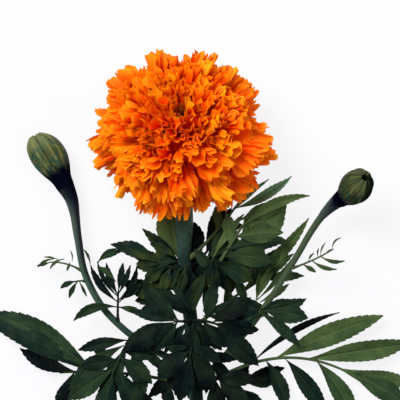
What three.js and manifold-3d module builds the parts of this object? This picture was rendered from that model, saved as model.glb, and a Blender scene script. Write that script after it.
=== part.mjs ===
// A cut marigold lying on a flat surface: one double orange bloom in its green cup, two
// closed buds on their stalks, and feathered leaves with toothed leaflets on one main stem.
// Millimetres, +Z up. The stem runs along -Y from the bloom, and the origin is on the
// surface, in the middle of the plant's footprint.
import * as THREE from "three";
import Module from "manifold-3d";

const wasm = await Module();
wasm.setup();

// Driving dimensions
const BLADE = 0.7; // thickness of a leaf blade or a petal
const GAP = 0.3; // clearance between a piece and what carries it
const FINE = 0.012; // edges shorter than this vanish when solids are fused

const BLOOM = {
  centre: [-8, 48, 31.4],
  elevation: 62, // degrees that its axis stands above the surface
  radius: 39.5, // from the centre to the petals' tips, on the widest row
  flatness: 0.14, // share by which the bloom is lower than it is wide
  core: 14, // radius of the head that the petals grow from
  coreFloor: 9.5, // how far below the centre the head is cut flat
  petals: 106,
  lastAngle: 126, // degrees from the axis to the lowest row of petals
  petalWidth: 13,
  pressed: 3.5, // height under which petals are pressed by the surface
};
const CUP = { top: 9.8, length: 14, mouth: 8.4, foot: 3.7, ribs: 8 };
const BUD = { length: 23, radius: 7.4, foot: 4.3, mouth: 2.3, ribs: 8 };
const STEM = { radius: 3.1, swelling: 0.75, collar: 0.45 }; // swollen under the bloom
// Bud stalks: their radii at the start, and the neck that they widen to under their buds.
const STALK = { left: 1.75, right: 1.4, growth: 0.35, neck: 4.1, taper: 0.075 };

const ORANGE = 0xf06a0a;
const CUP_GREEN = 0x4a5c3a;
const STEM_GREEN = 0x33473c;
const LEAF_GREEN = 0x3c5233;
const BUD_GREEN = 0x55643a;

const Z = new THREE.Vector3(0, 0, 1);
const vector = (point) => new THREE.Vector3(...point);
const radians = THREE.MathUtils.degToRad;

// Repeatable draws between 0 and 1.
function dice(seed) {
  let state = seed;
  return () => {
    state = (state + 0x6d2b79f5) | 0;
    let t = Math.imul(state ^ (state >>> 15), 1 | state);
    t = (t + Math.imul(t ^ (t >>> 7), 61 | t)) ^ t;
    return ((t ^ (t >>> 14)) >>> 0) / 4294967296;
  };
}

// A closed skin through rings with an even number of points, which turn clockwise as seen
// from where the rings come. The first half of a ring is the upper face, and both faces are
// split along the same diagonals.
function loft(rings) {
  const n = rings[0].length;
  const faces = [];
  for (let i = 0; i + 1 < rings.length; i++) {
    for (let j = 0; j < n; j++) {
      const next = (j + 1) % n;
      const a = i * n + j;
      const b = i * n + next;
      const c = b + n;
      const d = a + n;
      if (j < n / 2) faces.push(a, c, b, a, d, c);
      else faces.push(a, d, b, b, d, c);
    }
  }
  const last = (rings.length - 1) * n;
  for (let j = 0; j + 1 < n / 2; j++) {
    const [a, b, c, d] = [j, j + 1, n - 2 - j, n - 1 - j];
    faces.push(d, a, b, d, b, c);
    faces.push(last + a, last + d, last + b, last + b, last + d, last + c);
  }
  const places = rings.flat().flatMap((point) => point.toArray());
  return new THREE.BufferGeometry()
    .setAttribute("position", new THREE.Float32BufferAttribute(places, 3))
    .setIndex(faces);
}

function toSolid(geometry) {
  return new wasm.Manifold(
    new wasm.Mesh({
      numProp: 3,
      vertProperties: new Float32Array(geometry.attributes.position.array),
      triVerts: new Uint32Array(geometry.index.array),
    }),
  );
}

function toGeometry(solid) {
  const mesh = solid.getMesh();
  return new THREE.BufferGeometry()
    .setAttribute("position", new THREE.BufferAttribute(mesh.vertProperties, 3))
    .setIndex(new THREE.BufferAttribute(mesh.triVerts, 1));
}

function fuse(geometries) {
  let joined = toSolid(geometries[0]);
  for (const geometry of geometries.slice(1)) joined = joined.add(toSolid(geometry));
  return toGeometry(joined.simplify(FINE));
}

// The frame of a curve at t: tangent, a normal as near to upright as it can be, and the right.
function frameAt(curve, t) {
  const tangent = curve.getTangent(t);
  const right = new THREE.Vector3().crossVectors(tangent, Z).normalize();
  const normal = new THREE.Vector3().crossVectors(right, tangent).normalize();
  return { point: curve.getPoint(t), tangent, right, normal };
}

// A round stalk along a curve, with its radius given at each share of its length.
function stalk(curve, radiusAt, steps, sides, from = 0) {
  const rings = [];
  for (let i = 0; i <= steps; i++) {
    const t = from + ((1 - from) * i) / steps;
    const { point, right, normal } = frameAt(curve, t);
    const ring = [];
    for (let k = 0; k < sides; k++) {
      const turn = (2 * Math.PI * (k + 0.5)) / sides;
      ring.push(
        point
          .clone()
          .addScaledVector(right, radiusAt(t) * Math.cos(turn))
          .addScaledVector(normal, radiusAt(t) * Math.sin(turn)),
      );
    }
    rings.push(ring);
  }
  return loft(rings);
}

// Stems
const bloomAxis = new THREE.Vector3(
  0,
  Math.cos(radians(BLOOM.elevation)),
  Math.sin(radians(BLOOM.elevation)),
);
const alongBloom = (distance) => vector(BLOOM.centre).addScaledVector(bloomAxis, distance);
const cupFoot = alongBloom(-CUP.top - CUP.length);

const mainStem = {
  curve: new THREE.CatmullRomCurve3([
    cupFoot.clone().addScaledVector(bloomAxis, -GAP),
    cupFoot.clone().addScaledVector(bloomAxis, -3.5),
    vector([-7.9, 28, 6.4]),
    vector([-7.5, 16, 6.8]),
    vector([-7.2, 0, 7.6]),
    vector([-6.6, -14, 8.2]),
    vector([-4.2, -34, 8.6]),
    vector([-2.6, -56, 8.2]),
    vector([-1.6, -72, 7.4]),
    vector([-1.2, -85.5, 6.6]),
  ]),
  radiusAt: (t) =>
    STEM.radius +
    STEM.swelling * Math.exp(-(((t - 0.22) / 0.17) ** 2)) +
    STEM.collar * Math.exp(-t / 0.04),
};
function stalkRadius(radius) {
  const widening = STALK.neck - radius - STALK.growth;
  return (t) => radius + STALK.growth * t + widening * Math.exp((t - 1) / STALK.taper);
}
const leftStalk = {
  curve: new THREE.CatmullRomCurve3([
    vector([-3.4, -56.5, 9]),
    vector([-13, -51.5, 11.5]),
    vector([-27, -43.5, 12]),
    vector([-37, -35.5, 11.5]),
    vector([-45, -26.2, 11]),
    vector([-51.6, -12.5, 10.5]),
    vector([-54.4, 2, 9.8]),
    vector([-56, 13.4, 9.2]),
    vector([-57.6, 20.4, 8.8]),
    vector([-60.6, 26.4, 8.6]),
  ]),
  radiusAt: stalkRadius(STALK.left),
};
const rightStalk = {
  curve: new THREE.CatmullRomCurve3([
    vector([-2.2, -63, 8.6]),
    vector([5, -56.5, 11]),
    vector([14, -48, 13.6]),
    vector([24.8, -36.5, 14.6]),
    vector([32.8, -25.4, 15.2]),
    vector([38.6, -16.2, 15.6]),
    vector([44.5, -6.4, 15.8]),
    vector([50, 3.6, 15.6]),
    vector([56, 12.6, 15.4]),
    vector([60.6, 17.9, 17]),
    vector([62.7, 20.1, 21.5]),
  ]),
  radiusAt: stalkRadius(STALK.right),
};

// The share of a branch's length at which its blunt end, of that radius, is clear of its stem.
function clearOf(stem, branch, radius) {
  const steps = 400;
  const middle = stem.curve.getPoints(steps);
  for (let t = 0; t < 0.6; t += 0.002) {
    const here = branch.getPoint(t);
    const gaps = middle.map((point, i) => here.distanceTo(point) - stem.radiusAt(i / steps));
    const gap = Math.min(...gaps);
    const away = here.clone().sub(middle[gaps.indexOf(gap)]).normalize();
    const reach = radius * Math.sqrt(1 - branch.getTangent(t).dot(away) ** 2);
    if (gap > reach + GAP) return t;
  }
  throw new Error("a branch never leaves its stem");
}

// Leaves. A leaflet is a blade with saw teeth, from its place on the rib to its tip, bowed
// sideways and arched upwards between them.
const fullness = (s) => Math.sin(Math.PI * s ** 1.06) ** 1.1;

function leaflet(base, tip, width, teeth = 3, bow = 0, arch = 0.07) {
  const span = tip.clone().sub(base);
  const length = span.length();
  const side = new THREE.Vector3().crossVectors(span, Z).normalize();
  const face = new THREE.Vector3().crossVectors(side, span).normalize();
  const place = (s) =>
    base
      .clone()
      .addScaledVector(span, s)
      .addScaledVector(side, 4 * length * bow * s * (1 - s))
      .addScaledVector(face, 4 * length * arch * s * (1 - s));
  const stations = 2 * teeth + 2;
  const rings = [];
  for (let i = 0; i < stations; i++) {
    const s = i / (stations - 1);
    const isTooth = i > 0 && i % 2 === 0;
    const along = place(s + 0.01).sub(place(s - 0.01)).normalize();
    const right = new THREE.Vector3().crossVectors(along, face).normalize();
    const up = new THREE.Vector3().crossVectors(right, along);
    const half = Math.max(0.35, (width / 2) * fullness(s) * (isTooth ? 1.1 : 0.84));
    const middle = place(s).addScaledVector(along, isTooth ? length * 0.035 : 0);
    const corner = (x, z) =>
      middle.clone().addScaledVector(right, x * half).addScaledVector(up, (z * BLADE) / 2);
    rings.push([corner(1, 1), corner(-1, 1), corner(-1, -1), corner(1, -1)]);
  }
  return loft(rings);
}

// A leaf on its stem: a thin rib through a bend, single leaflets given by their place on the
// rib and their tip, and leaflets in pairs that shorten and close up towards the rib's end.
function leaf({ stem, rib, slim = 0.85, single = [], pairs }) {
  const curve = new THREE.QuadraticBezierCurve3(...rib.map(vector));
  const ribRadius = (t) => slim * (1 - 0.35 * t);
  const start = clearOf(stem, curve, slim);
  const pieces = [stalk(curve, ribRadius, 4, 4, start)];
  for (const [at, tip, ...form] of single)
    pieces.push(leaflet(curve.getPoint(at), vector(tip), ...form));
  if (pairs) {
    const { count, from = 0.4, length, width, open = [64, 40], fall = 0.12, teeth = 2 } = pairs;
    for (let k = 0; k < count; k++) {
      const share = count > 1 ? k / (count - 1) : 0.5;
      const angle = radians(THREE.MathUtils.lerp(open[0], open[1], share));
      for (const side of [1, -1]) {
        const at = from + (0.9 - from) * (k / count) + 0.02 * side;
        const { point, tangent, right, normal } = frameAt(curve, at);
        const size = length * (1 - 0.2 * share + 0.08 * Math.sin(7 * k + 3 * side + length));
        const tip = point
          .clone()
          .addScaledVector(tangent, size * Math.cos(angle))
          .addScaledVector(right, side * size * Math.sin(angle))
          .addScaledVector(normal, -fall * size);
        pieces.push(leaflet(point, tip, width, teeth, -0.05 * side, 0.08));
      }
    }
  }
  return fuse(pieces);
}

// Leaflets in a leaf's list: place on the rib, tip, width, teeth a side, bow, arch.
const LEAVES = {
  // The two long leaves that reach out to the sides and rest on the surface with a tip.
  leaf_left_long: {
    stem: mainStem,
    rib: [[-2, -64.5, 8], [-30, -56, 4.4], [-63, -58, 4.2]],
    single: [
      [0.76, [-96.4, -29.4, 0.4], 12.5, 4, -0.03, 0.05],
      [0.97, [-94.5, -38, 2.2], 11, 4, -0.13, 0.05],
      [0.86, [-81, -47, 1.4], 6, 2, -0.06],
      [0.6, [-48, -44.6, 5], 6, 2],
      [0.97, [-69, -70, 2], 3.4, 2],
      [0.5, [-47, -72, 1.6], 7, 3, 0.05],
    ],
  },
  leaf_right_long: {
    stem: mainStem,
    rib: [[-1.6, -66.5, 7.6], [34, -40.5, 8.4], [67.5, -58.5, 6]],
    single: [
      [0.35, [62, -31.3, 6.6], 3.4, 2, 0.03, 0.02],
      [0.5, [82, -32.4, 5.6], 11.5, 4, 0.03, 0.03],
      [0.7, [96.4, -44.6, 2.4], 11, 4, 0.03, 0.04],
      [0.85, [96.5, -61.4, 0.4], 9, 3, 0.02, 0.05],
      [0.97, [95, -75, 2], 9.5, 3, -0.05, 0.04],
      [0.77, [70, -82, 2], 8.6, 3, -0.06, 0.04],
      [0.56, [56.4, -78, 2.2], 7.8, 3, -0.05, 0.04],
      [0.44, [39, -75, 2.4], 7, 3, -0.06, 0.04],
    ],
  },
  // Low leaves, under the stems.
  leaf_down_right: {
    stem: mainStem,
    rib: [[-1.2, -74, 6.6], [9, -67.6, 3.2], [21, -64.6, 2.6]],
    single: [
      [0.97, [35, -63.4, 1.4], 6.4, 2],
      [0.8, [30, -75.6, 1.4], 6.4, 2],
      [0.6, [18.4, -79, 1.4], 6, 2],
      [0.66, [22, -54.6, 1.6], 6, 2],
    ],
  },
  leaf_down_left: {
    stem: mainStem,
    rib: [[-1.4, -76, 6.4], [-11, -74, 3.2], [-22, -74.6, 2.6]],
    single: [
      [0.97, [-38, -77, 1.4], 7, 2],
      [0.8, [-31, -66.6, 1.4], 6.4, 2, -0.03],
      [0.7, [-24, -85, 1.4], 6, 2, 0.03],
      [0.5, [-16, -63, 1.8], 6, 2, -0.03],
    ],
  },
  leaf_mid_right: {
    stem: mainStem,
    rib: [[-3, -38, 8], [10, -27, 3.6], [28, -16, 5.4]],
    single: [
      [0.66, [48.6, 11.3, 11.4], 6.4, 3, 0.03, 0.03],
      [0.9, [42, -4.6, 8.4], 5.4, 2, -0.02],
      [0.97, [46.6, -14.6, 7.4], 6.4, 3, -0.04],
      [0.5, [15.4, -3.4, 4.4], 7.4, 2, 0.03, 0.03],
      [0.6, [31, -33, 4.4], 6.4, 2, -0.03, 0.03],
      [0.4, [15.4, -38.4, 4], 6.4, 2, -0.03, 0.03],
    ],
  },
  leaf_behind_right: {
    stem: mainStem,
    rib: [[-6.2, -12, 7.6], [1, -7, 4.4], [3.6, -3, 4]],
    single: [
      [0.96, [10.4, 18.5, 4.6], 9, 3, 0.03],
      [0.8, [-1.4, 13.6, 3.4], 5.6, 2],
    ],
  },
  leaf_behind_left: {
    stem: mainStem,
    rib: [[-7, -14, 7.6], [-13, -12, 2.6], [-13.6, -7, 1.6]],
    single: [
      [0.96, [-15.2, 18, 1.4], 9.6, 3, -0.04, 0.015],
      [0.9, [-25.8, 6.8, 2.2], 3, 2, 0.04],
    ],
  },
  // Leaves at the height of the stems and over them.
  leaf_upper_right: {
    stem: mainStem,
    rib: [[-6.4, -8, 8.2], [5, 1, 11.4], [16, 16.5, 11.4]],
    single: [
      [0.97, [40.5, 29.6, 12.4], 5, 3, 0.02],
      [0.9, [33, 29.4, 13.6], 3.4, 2],
    ],
    pairs: { count: 1, from: 0.62, length: 14, width: 4.6, open: [42, 42] },
  },
  leaf_right_broad: {
    stem: mainStem,
    slim: 1,
    rib: [[-4.6, -31, 8.6], [3.4, -16, 24], [19, 8.4, 21]],
    single: [
      [0.97, [48.4, 21.2, 19.2], 12, 3, -0.06],
      [0.88, [40.4, 3.6, 18.6], 11, 3, -0.04],
      [0.7, [32.6, -8.6, 17.6], 9, 3, -0.06],
      [0.6, [23.4, -17, 17], 7.6, 2, -0.05],
      [0.8, [11.4, 13.6, 19.6], 6, 2, 0.05],
      [0.5, [-2.6, -2.4, 19.4], 5, 2, 0.05],
    ],
  },
  leaf_upper_left: {
    stem: mainStem,
    rib: [[-6.6, -13, 8.4], [-11.5, -10.6, 16.4], [-18.5, -8.6, 17.4]],
    single: [
      [0.97, [-39.6, -0.4, 15], 7, 3, 0.07],
      [0.9, [-28.4, -10.6, 14.2], 7, 3, 0.06],
      [0.7, [-24.6, -17.6, 14.6], 5.6, 2, 0.06],
      [0.55, [-16.4, -21.6, 14.6], 5, 2, 0.06],
      [0.7, [-19.4, -1.4, 15.4], 4.4, 2],
    ],
  },
  leaf_mid_left: {
    stem: mainStem,
    rib: [[-5, -29, 8.6], [-9, -26, 12.6], [-14, -25, 12.8]],
    single: [
      [0.97, [-34.4, -17.6, 10.6], 8.4, 3, 0.03],
      [0.8, [-21.4, -12.4, 11.6], 6, 2],
      [0.75, [-27.4, -31.6, 11], 7, 2],
    ],
  },
  leaf_centre_left: {
    stem: mainStem,
    rib: [[-4, -36, 8.8], [-6, -34, 19], [-11, -34.4, 20.6]],
    single: [
      [0.97, [-34.6, -47.4, 17.4], 10, 3, 0.02],
      [0.8, [-25.4, -18.4, 16.6], 8.4, 3, -0.03],
      [0.9, [-36, -27.6, 17.6], 5, 2],
      [0.85, [-19.6, -47.6, 17.6], 7, 2, 0.04],
    ],
  },
  leaf_centre_down: {
    stem: mainStem,
    rib: [[-3.6, -40, 8.8], [-3.4, -42, 22.4], [-4.4, -49, 24]],
    single: [
      [0.97, [-9.4, -70, 19], 9.4, 3],
      [0.85, [-19, -59.6, 19.4], 9, 3, 0.03],
      [0.85, [6, -65.6, 18.6], 8.6, 3, -0.03],
      [0.65, [-16, -45.4, 20.4], 6.6, 2, 0.03],
      [0.65, [9, -52.4, 20.4], 6.4, 2, -0.03],
    ],
  },
  leaf_centre_right: {
    stem: mainStem,
    rib: [[-4, -34.6, 9], [1, -33.4, 20], [7.6, -35.6, 21.6]],
    single: [
      [0.97, [26, -54.4, 16.4], 9.6, 3],
      [0.9, [29, -38.4, 17.6], 9, 3, 0.02],
      [0.8, [22.6, -23.6, 18.6], 8, 3, 0.04],
      [0.6, [6.6, -16.6, 19.6], 6.4, 2],
    ],
  },
  leaf_centre_low: {
    stem: mainStem,
    rib: [[-2.6, -55, 8.8], [2, -57, 16.4], [8, -60, 17]],
    single: [
      [0.97, [21.6, -71.6, 14.6], 8.8, 3],
      [0.85, [7.4, -78, 13.4], 8.4, 3, -0.02],
      [0.85, [25, -59.6, 17], 7.4, 2, 0.03],
    ],
  },
  // Leaves on the bud stalks.
  leaf_left_down: {
    stem: leftStalk,
    rib: [[-30, -41.5, 12], [-35, -48, 17], [-39, -58, 15.4]],
    single: [
      [0.97, [-45, -84, 9], 10.4, 3],
      [0.86, [-59, -70, 10.4], 9.4, 3, 0.03],
      [0.86, [-26.6, -77.6, 10.6], 9.4, 3, -0.03],
      [0.66, [-53, -54.6, 13], 7.6, 2, 0.03],
      [0.6, [-21.4, -62.6, 13], 8.4, 2, -0.03],
      [0.45, [-20, -50.4, 14.6], 6, 2, -0.03],
    ],
  },
  leaf_left_small: {
    stem: leftStalk,
    slim: 0.65,
    rib: [[-36.6, -35.9, 11.4], [-36.6, -28, 17], [-36.2, -21, 17.4]],
    single: [
      [0.97, [-34.2, -8.6, 16.6], 3.8, 2],
      [0.9, [-31, -9.6, 15], 2.8, 1, 0.04],
      [0.86, [-41.8, -8.4, 16], 4, 2, -0.04],
      [0.82, [-45, -3.8, 13.8], 3, 2, -0.06],
      [0.66, [-52.2, -6, 14.6], 4.2, 2, -0.05],
      [0.62, [-28, -9.8, 15.4], 3.4, 2, 0.1],
      [0.5, [-25.8, -31, 15.4], 3.6, 2, -0.05],
      [0.5, [-56.2, -34.4, 12.6], 4.6, 2, 0.12, 0.12],
    ],
  },
  leaf_right_side: {
    stem: rightStalk,
    rib: [[26, -34.6, 14.8], [27.4, -32.6, 19.6], [30.6, -31, 20]],
    single: [
      [0.9, [47.6, -25.4, 18.6], 5.4, 3, 0.02],
      [0.97, [49.6, -33.4, 18.6], 6.4, 3, -0.03],
      [0.8, [44.4, -46, 17.6], 5.2, 3, -0.04],
      [0.8, [39.6, -24.6, 19.2], 3.6, 2],
    ],
  },
  // Feathery little leaves high on the bud stalks.
  bract_left_upper: {
    stem: leftStalk,
    slim: 0.5,
    rib: [[-51.3, -13.4, 10.5], [-58, -8, 11.6], [-67, -8.4, 10.8]],
    single: [[0.97, [-72.6, -10, 10], 1.6, 1]],
    pairs: { count: 3, from: 0.36, length: 6, width: 1.9, open: [60, 40], teeth: 1 },
  },
  bract_left_lower: {
    stem: leftStalk,
    slim: 0.5,
    rib: [[-49, -18.6, 10.8], [-52, -19.6, 11.2], [-55, -19.8, 10.8]],
    single: [
      [0.8, [-62, -20, 9.8], 2.2, 1],
      [0.6, [-58, -24, 9.6], 2.2, 1],
      [0.5, [-50, -24.6, 9.6], 2, 1],
    ],
  },
  bract_right: {
    stem: rightStalk,
    slim: 0.5,
    rib: [[41, -12.2, 15.8], [50, -8, 19], [59, -2.4, 19]],
    single: [
      [0.97, [62.4, 1.6, 18.4], 1.6, 1],
      [0.7, [64, -7.4, 18], 1.8, 1, -0.04],
      [0.5, [60.6, -11.4, 18], 2.2, 1, -0.04],
      [0.3, [50.6, -12.4, 17.6], 1.8, 1],
      [0.7, [55.6, 1.4, 18.6], 1.6, 1],
    ],
  },
};

// A round body on local +Z: radii at given heights. Every second corner stands proud, so
// that ribs run from foot to mouth, and a lip lifts those corners at a toothed rim.
function turned(profile, sides, proud = 0) {
  return loft(
    profile.map(([height, radius, lip = 0]) =>
      Array.from({ length: sides }, (_, k) => {
        const turn = (-2 * Math.PI * k) / sides;
        const r = radius * (k % 2 ? 1 - proud : 1 + proud);
        const h = height + (k % 2 ? -lip : lip);
        return new THREE.Vector3(r * Math.cos(turn), r * Math.sin(turn), h);
      }),
    ),
  );
}

function budShape() {
  const { length, radius, foot, mouth, ribs } = BUD;
  const profile = [
    [0, foot * 0.95],
    [length * 0.1, foot * 1.28],
    [length * 0.27, radius * 0.88],
    [length * 0.48, radius],
    [length * 0.68, radius * 0.95],
    [length * 0.85, radius * 0.72],
    [length * 0.96, radius * 0.46, 0.4],
    [length, mouth, 0.7],
    [length - 1.6, mouth * 0.5],
  ];
  return turned(profile, 2 * ribs, 0.035);
}

function cupShape() {
  const { length, mouth, foot, ribs } = CUP;
  const profile = [
    [0, foot],
    [length * 0.2, foot * 1.25],
    [length * 0.5, mouth * 0.82],
    [length * 0.8, mouth * 1.02],
    [length - 0.2, mouth, 0.2],
    [length - 1.2, mouth * 0.7],
  ];
  return turned(profile, 2 * ribs, 0.04);
}

// The bloom on local +Z: petals in a sunflower spiral over a round head. The inner ones
// bend any way and close the middle. `press` gives a point its pressed place.
function bloomShape(press) {
  const draw = dice(7);
  const spread = (middle, range) => middle + range * (2 * draw() - 1);
  const flatAngle = Math.acos(-BLOOM.coreFloor / BLOOM.core);
  const profile = [1, 0.8, 0.6, 0.4, 0.15].map((share) => [
    BLOOM.core * Math.cos(flatAngle * share),
    BLOOM.core * Math.sin(flatAngle * share),
  ]);
  const pieces = [turned(profile, 12)];
  const golden = Math.PI * (3 - Math.sqrt(5));
  const floor = Math.cos(radians(BLOOM.lastAngle));
  for (let i = 0; i < BLOOM.petals; i++) {
    const angle = Math.acos(1 - ((1 - floor) * (i + 0.5)) / BLOOM.petals);
    const turn = i * golden + spread(0, 0.08);
    const out = new THREE.Vector3().setFromSphericalCoords(1, angle, turn);
    const down = new THREE.Vector3().setFromSphericalCoords(1, angle + Math.PI / 2, turn);
    for (const v of [out, down]) v.set(v.x, v.z, v.y);
    const isInner = i < 10;
    const roll = radians(spread(0, isInner ? 170 : 34));
    down.applyAxisAngle(out, roll);
    const side = new THREE.Vector3().crossVectors(down, out);
    const wide = BLOOM.petalWidth * spread(1, 0.16) * (isInner ? 0.8 : 1);
    const bend = radians(spread(isInner ? 30 : 38, 20));
    const reach = BLOOM.radius * spread(0.97, 0.04) * (1 - BLOOM.flatness * Math.cos(angle) ** 2);
    pieces.push(petal(out, down, side, wide, bend, reach, spread(0, 0.5), press));
  }
  return fuse(pieces);
}

// One petal from inside the head outwards: a narrow foot, then a limb with a raised edge
// that bends towards `down` by `bend`.
function petal(out, down, side, wide, bend, reach, wave, press) {
  const foot = BLOOM.core - 2.5;
  const span = reach - foot;
  // Share of the way out, roll-back, half width, depth of the channel.
  const stations = [
    [0, 0, 0.1, 0],
    [0.74, 0.12, 0.46, 0.6 + 2 * wave],
    [1, 0.5, 0.4, -1.4 * wave],
  ];
  const rings = stations.map(([far, back, half, dip], i) => {
    const lean = bend * far * far * 1.5;
    const face = down.clone().multiplyScalar(-Math.cos(lean)).addScaledVector(out, Math.sin(lean));
    const middle = out
      .clone()
      .multiplyScalar(foot + span * far * (1 - 0.12 * Math.sin(bend) * far))
      .addScaledVector(down, back * span * Math.sin(bend) * 0.75);
    const point = (x, z) => {
      const lobe = i === 2 && x === 0 ? 1.6 : 0;
      return press(
        middle
          .clone()
          .addScaledVector(side, x * half * wide)
          .addScaledVector(face, (x === 0 ? -dip : dip * 0.4) + (z * BLADE * (i ? 1 : 2)) / 2)
          .addScaledVector(out, lobe),
      );
    };
    return [point(1, 1), point(0, 1), point(-1, 1), point(-1, -1), point(0, -1), point(1, -1)];
  });
  return loft(rings);
}

function piece(name, geometry, color, roughness = 0.6) {
  const material = new THREE.MeshStandardMaterial({ color, roughness, metalness: 0 });
  const mesh = new THREE.Mesh(geometry, material);
  mesh.name = name;
  return mesh;
}

const marigold = new THREE.Group();

const head = new THREE.Group();
head.position.set(...BLOOM.centre);
head.rotation.x = radians(BLOOM.elevation - 90);
head.updateMatrixWorld(true);
const back = head.matrixWorld.clone().invert();
// Petals under the bloom lie on the surface, so the lowest heights are halved.
function pressOnSurface(point) {
  const world = point.applyMatrix4(head.matrixWorld);
  world.z -= Math.min(0, world.z - BLOOM.pressed) / 2;
  return world.applyMatrix4(back);
}
const bloom = piece("bloom_petals", bloomShape(pressOnSurface), ORANGE, 0.55);
const cup = piece("bloom_cup", cupShape(), CUP_GREEN);
cup.position.z = -CUP.top - CUP.length;
head.add(bloom, cup);
marigold.add(head);

function stem(name, { curve, radiusAt }, steps, sides, from = 0) {
  marigold.add(piece(name, stalk(curve, radiusAt, steps, sides, from), STEM_GREEN, 0.5));
}
stem("main_stem", mainStem, 20, 10);
const leftStart = clearOf(mainStem, leftStalk.curve, leftStalk.radiusAt(0));
const rightStart = clearOf(mainStem, rightStalk.curve, rightStalk.radiusAt(0));
stem("bud_stalk_left", leftStalk, 16, 8, leftStart);
stem("bud_stalk_right", rightStalk, 16, 8, rightStart);

// A bud sits on the end of its stalk, in line with it.
function bud(name, stalkOf) {
  const mesh = piece(name, budShape(), BUD_GREEN);
  const tangent = stalkOf.curve.getTangent(1);
  mesh.position.copy(stalkOf.curve.getPoint(1)).addScaledVector(tangent, GAP);
  mesh.quaternion.setFromUnitVectors(Z, tangent);
  marigold.add(mesh);
}
bud("bud_left", leftStalk);
bud("bud_right", rightStalk);

for (const [name, spec] of Object.entries(LEAVES))
  marigold.add(piece(name, leaf(spec), LEAF_GREEN));

export default marigold;
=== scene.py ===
import math

import bpy
import numpy as np
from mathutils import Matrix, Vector


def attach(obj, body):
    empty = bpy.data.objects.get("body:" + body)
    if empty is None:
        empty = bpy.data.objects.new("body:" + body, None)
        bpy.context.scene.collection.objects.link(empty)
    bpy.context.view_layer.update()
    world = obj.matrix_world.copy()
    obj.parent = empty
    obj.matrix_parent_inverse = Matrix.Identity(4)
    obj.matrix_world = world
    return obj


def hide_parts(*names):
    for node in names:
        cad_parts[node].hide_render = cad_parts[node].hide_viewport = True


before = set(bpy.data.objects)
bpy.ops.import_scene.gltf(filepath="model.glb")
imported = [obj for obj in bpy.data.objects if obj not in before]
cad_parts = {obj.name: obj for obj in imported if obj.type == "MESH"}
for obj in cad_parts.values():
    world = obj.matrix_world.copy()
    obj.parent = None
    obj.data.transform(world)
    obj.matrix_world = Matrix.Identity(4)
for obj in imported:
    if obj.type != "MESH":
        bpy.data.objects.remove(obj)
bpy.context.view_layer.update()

bl_info = {
    "name": "Marigold flower",
    "version": (1, 0, 0),
    "blender": (4, 5, 0),
    "location": "View3D > Sidebar > Marigold",
    "description": "Builds a cut marigold with its bloom, buds, stems and leaves",
    "category": "Add Mesh",
}

MM = 0.001
UP = np.array([0.0, 0.0, 1.0])
TAU = 2 * math.pi

# Shapes that the part's source also has
BLOOM_CENTRE = (-8, 48, 31.4)
BLOOM_ELEVATION = 62
BLOOM_RADIUS = 39.5
BLOOM_FLATNESS = 0.14
BLOOM_LAST_ANGLE = 126
FLORET_FOOT = 11.5
CUP = {"top": 9.8, "length": 14, "mouth": 8.4, "foot": 3.7, "ribs": 8}
BUD = {"radius": 7.4, "mouth": 2.3, "ribs": 8}
GAP = 0.3
NECK_LENGTH = 3.5
BLOOM_TILT = math.radians(BLOOM_ELEVATION)
BLOOM_AXIS = np.array([0.0, math.cos(BLOOM_TILT), math.sin(BLOOM_TILT)])
CUP_FOOT = np.array(BLOOM_CENTRE) - (CUP["top"] + CUP["length"]) * BLOOM_AXIS

# Bloom: the rows of points along a floret, and its half width at each, as a share of its widest
FLORET_ROWS = (0, 0.34, 0.54, 0.69, 0.8, 0.88, 0.95, 1)
FLORET_HALF_WIDTHS = (0.12, 0.2, 0.45, 0.78, 0.96, 1.02, 1.04, 1.02)
LOBE_COLUMNS = (0, 0.3, 0.7)
LOBE_RISE = (-1, 0, 0)
# What sets the florets in the middle, those round it and the lowest ones apart: bend in degrees,
# widest half width, lobes more than the fewest, depth of the channel, how far it opens, ruffle,
# depth of the notches, and how many of the group's kinds are rolled up
KINDS_A_GROUP = 8
FLORET_GROUPS = (
    (4, 3.6, 0, 1, 1.1, 1, 0.9, 3),
    (11, 4.6, 1, 1, 1, 1.25, 1, 5),
    (26, 4.8, 1, 0.75, 0.7, 0.85, 1.35, 1),
)
FLORET_KINDS = KINDS_A_GROUP * len(FLORET_GROUPS)
FLORET_SHAPES_SEED = 2
CLOSED_FLORETS = 8
GOLDEN_ANGLE = math.pi * (3 - math.sqrt(5))
FLORET_EDGE_ANGLE = 80
# Points of the bloom under this height come near the floor and never pass it
PRESS_HEIGHT = 3.5
CORE_RADIUS = 18.0
# Where the head swells or sinks round its side: direction in degrees, amount and spread in degrees
HEAD_SWELLS = (
    (142, 0.08, 40), (166, -0.07, 16), (192, 0.07, 20), (214, -0.09, 18), (270, -0.1, 22),
    (324, 0.12, 42), (10, -0.03, 20), (46, 0.05, 26), (60, 0.07, 16), (84, -0.06, 22),
)
# What a user gives the nodes that set the florets, and its kind
FLORET_INPUTS = {
    "Geometry": "Geometry", "Florets": "Int", "Closed florets": "Int", "Last angle": "Float",
    "Radius": "Float", "Flatness": "Float", "Lean": "Float", "Press height": "Float",
    "Seed": "Int", "Floret kinds": "Collection", "Closed floret": "Object", "Core": "Object",
    "Material": "Material",
}

# Cup and buds: rows of height and radius of the cup, and each bud's radius at its foot, how its
# tip bends aside, how full and long it is, and the least painted shade it has all over
CUP_PROFILE = (
    (0, CUP["foot"]),
    (CUP["length"] * 0.2, CUP["foot"] * 1.25),
    (CUP["length"] * 0.5, CUP["mouth"] * 0.82),
    (CUP["length"] * 0.8, CUP["mouth"] * 1.02),
    (CUP["length"] - 0.2, CUP["mouth"]),
    (CUP["length"] - 0.5, CUP["mouth"] * 0.9),
    (CUP["length"] - 1.2, CUP["mouth"] * 0.7),
)
BUD_FORMS = {
    "left": {"foot": 4.2, "bend": (-1.7, -0.8, 0), "full": 1.05, "length": 25, "least_shade": 0.25},
    "right": {"foot": 3.75, "bend": (-1.2, 1.2, 0), "full": 0.93, "length": 22.6, "least_shade": 0.8},
}

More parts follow.
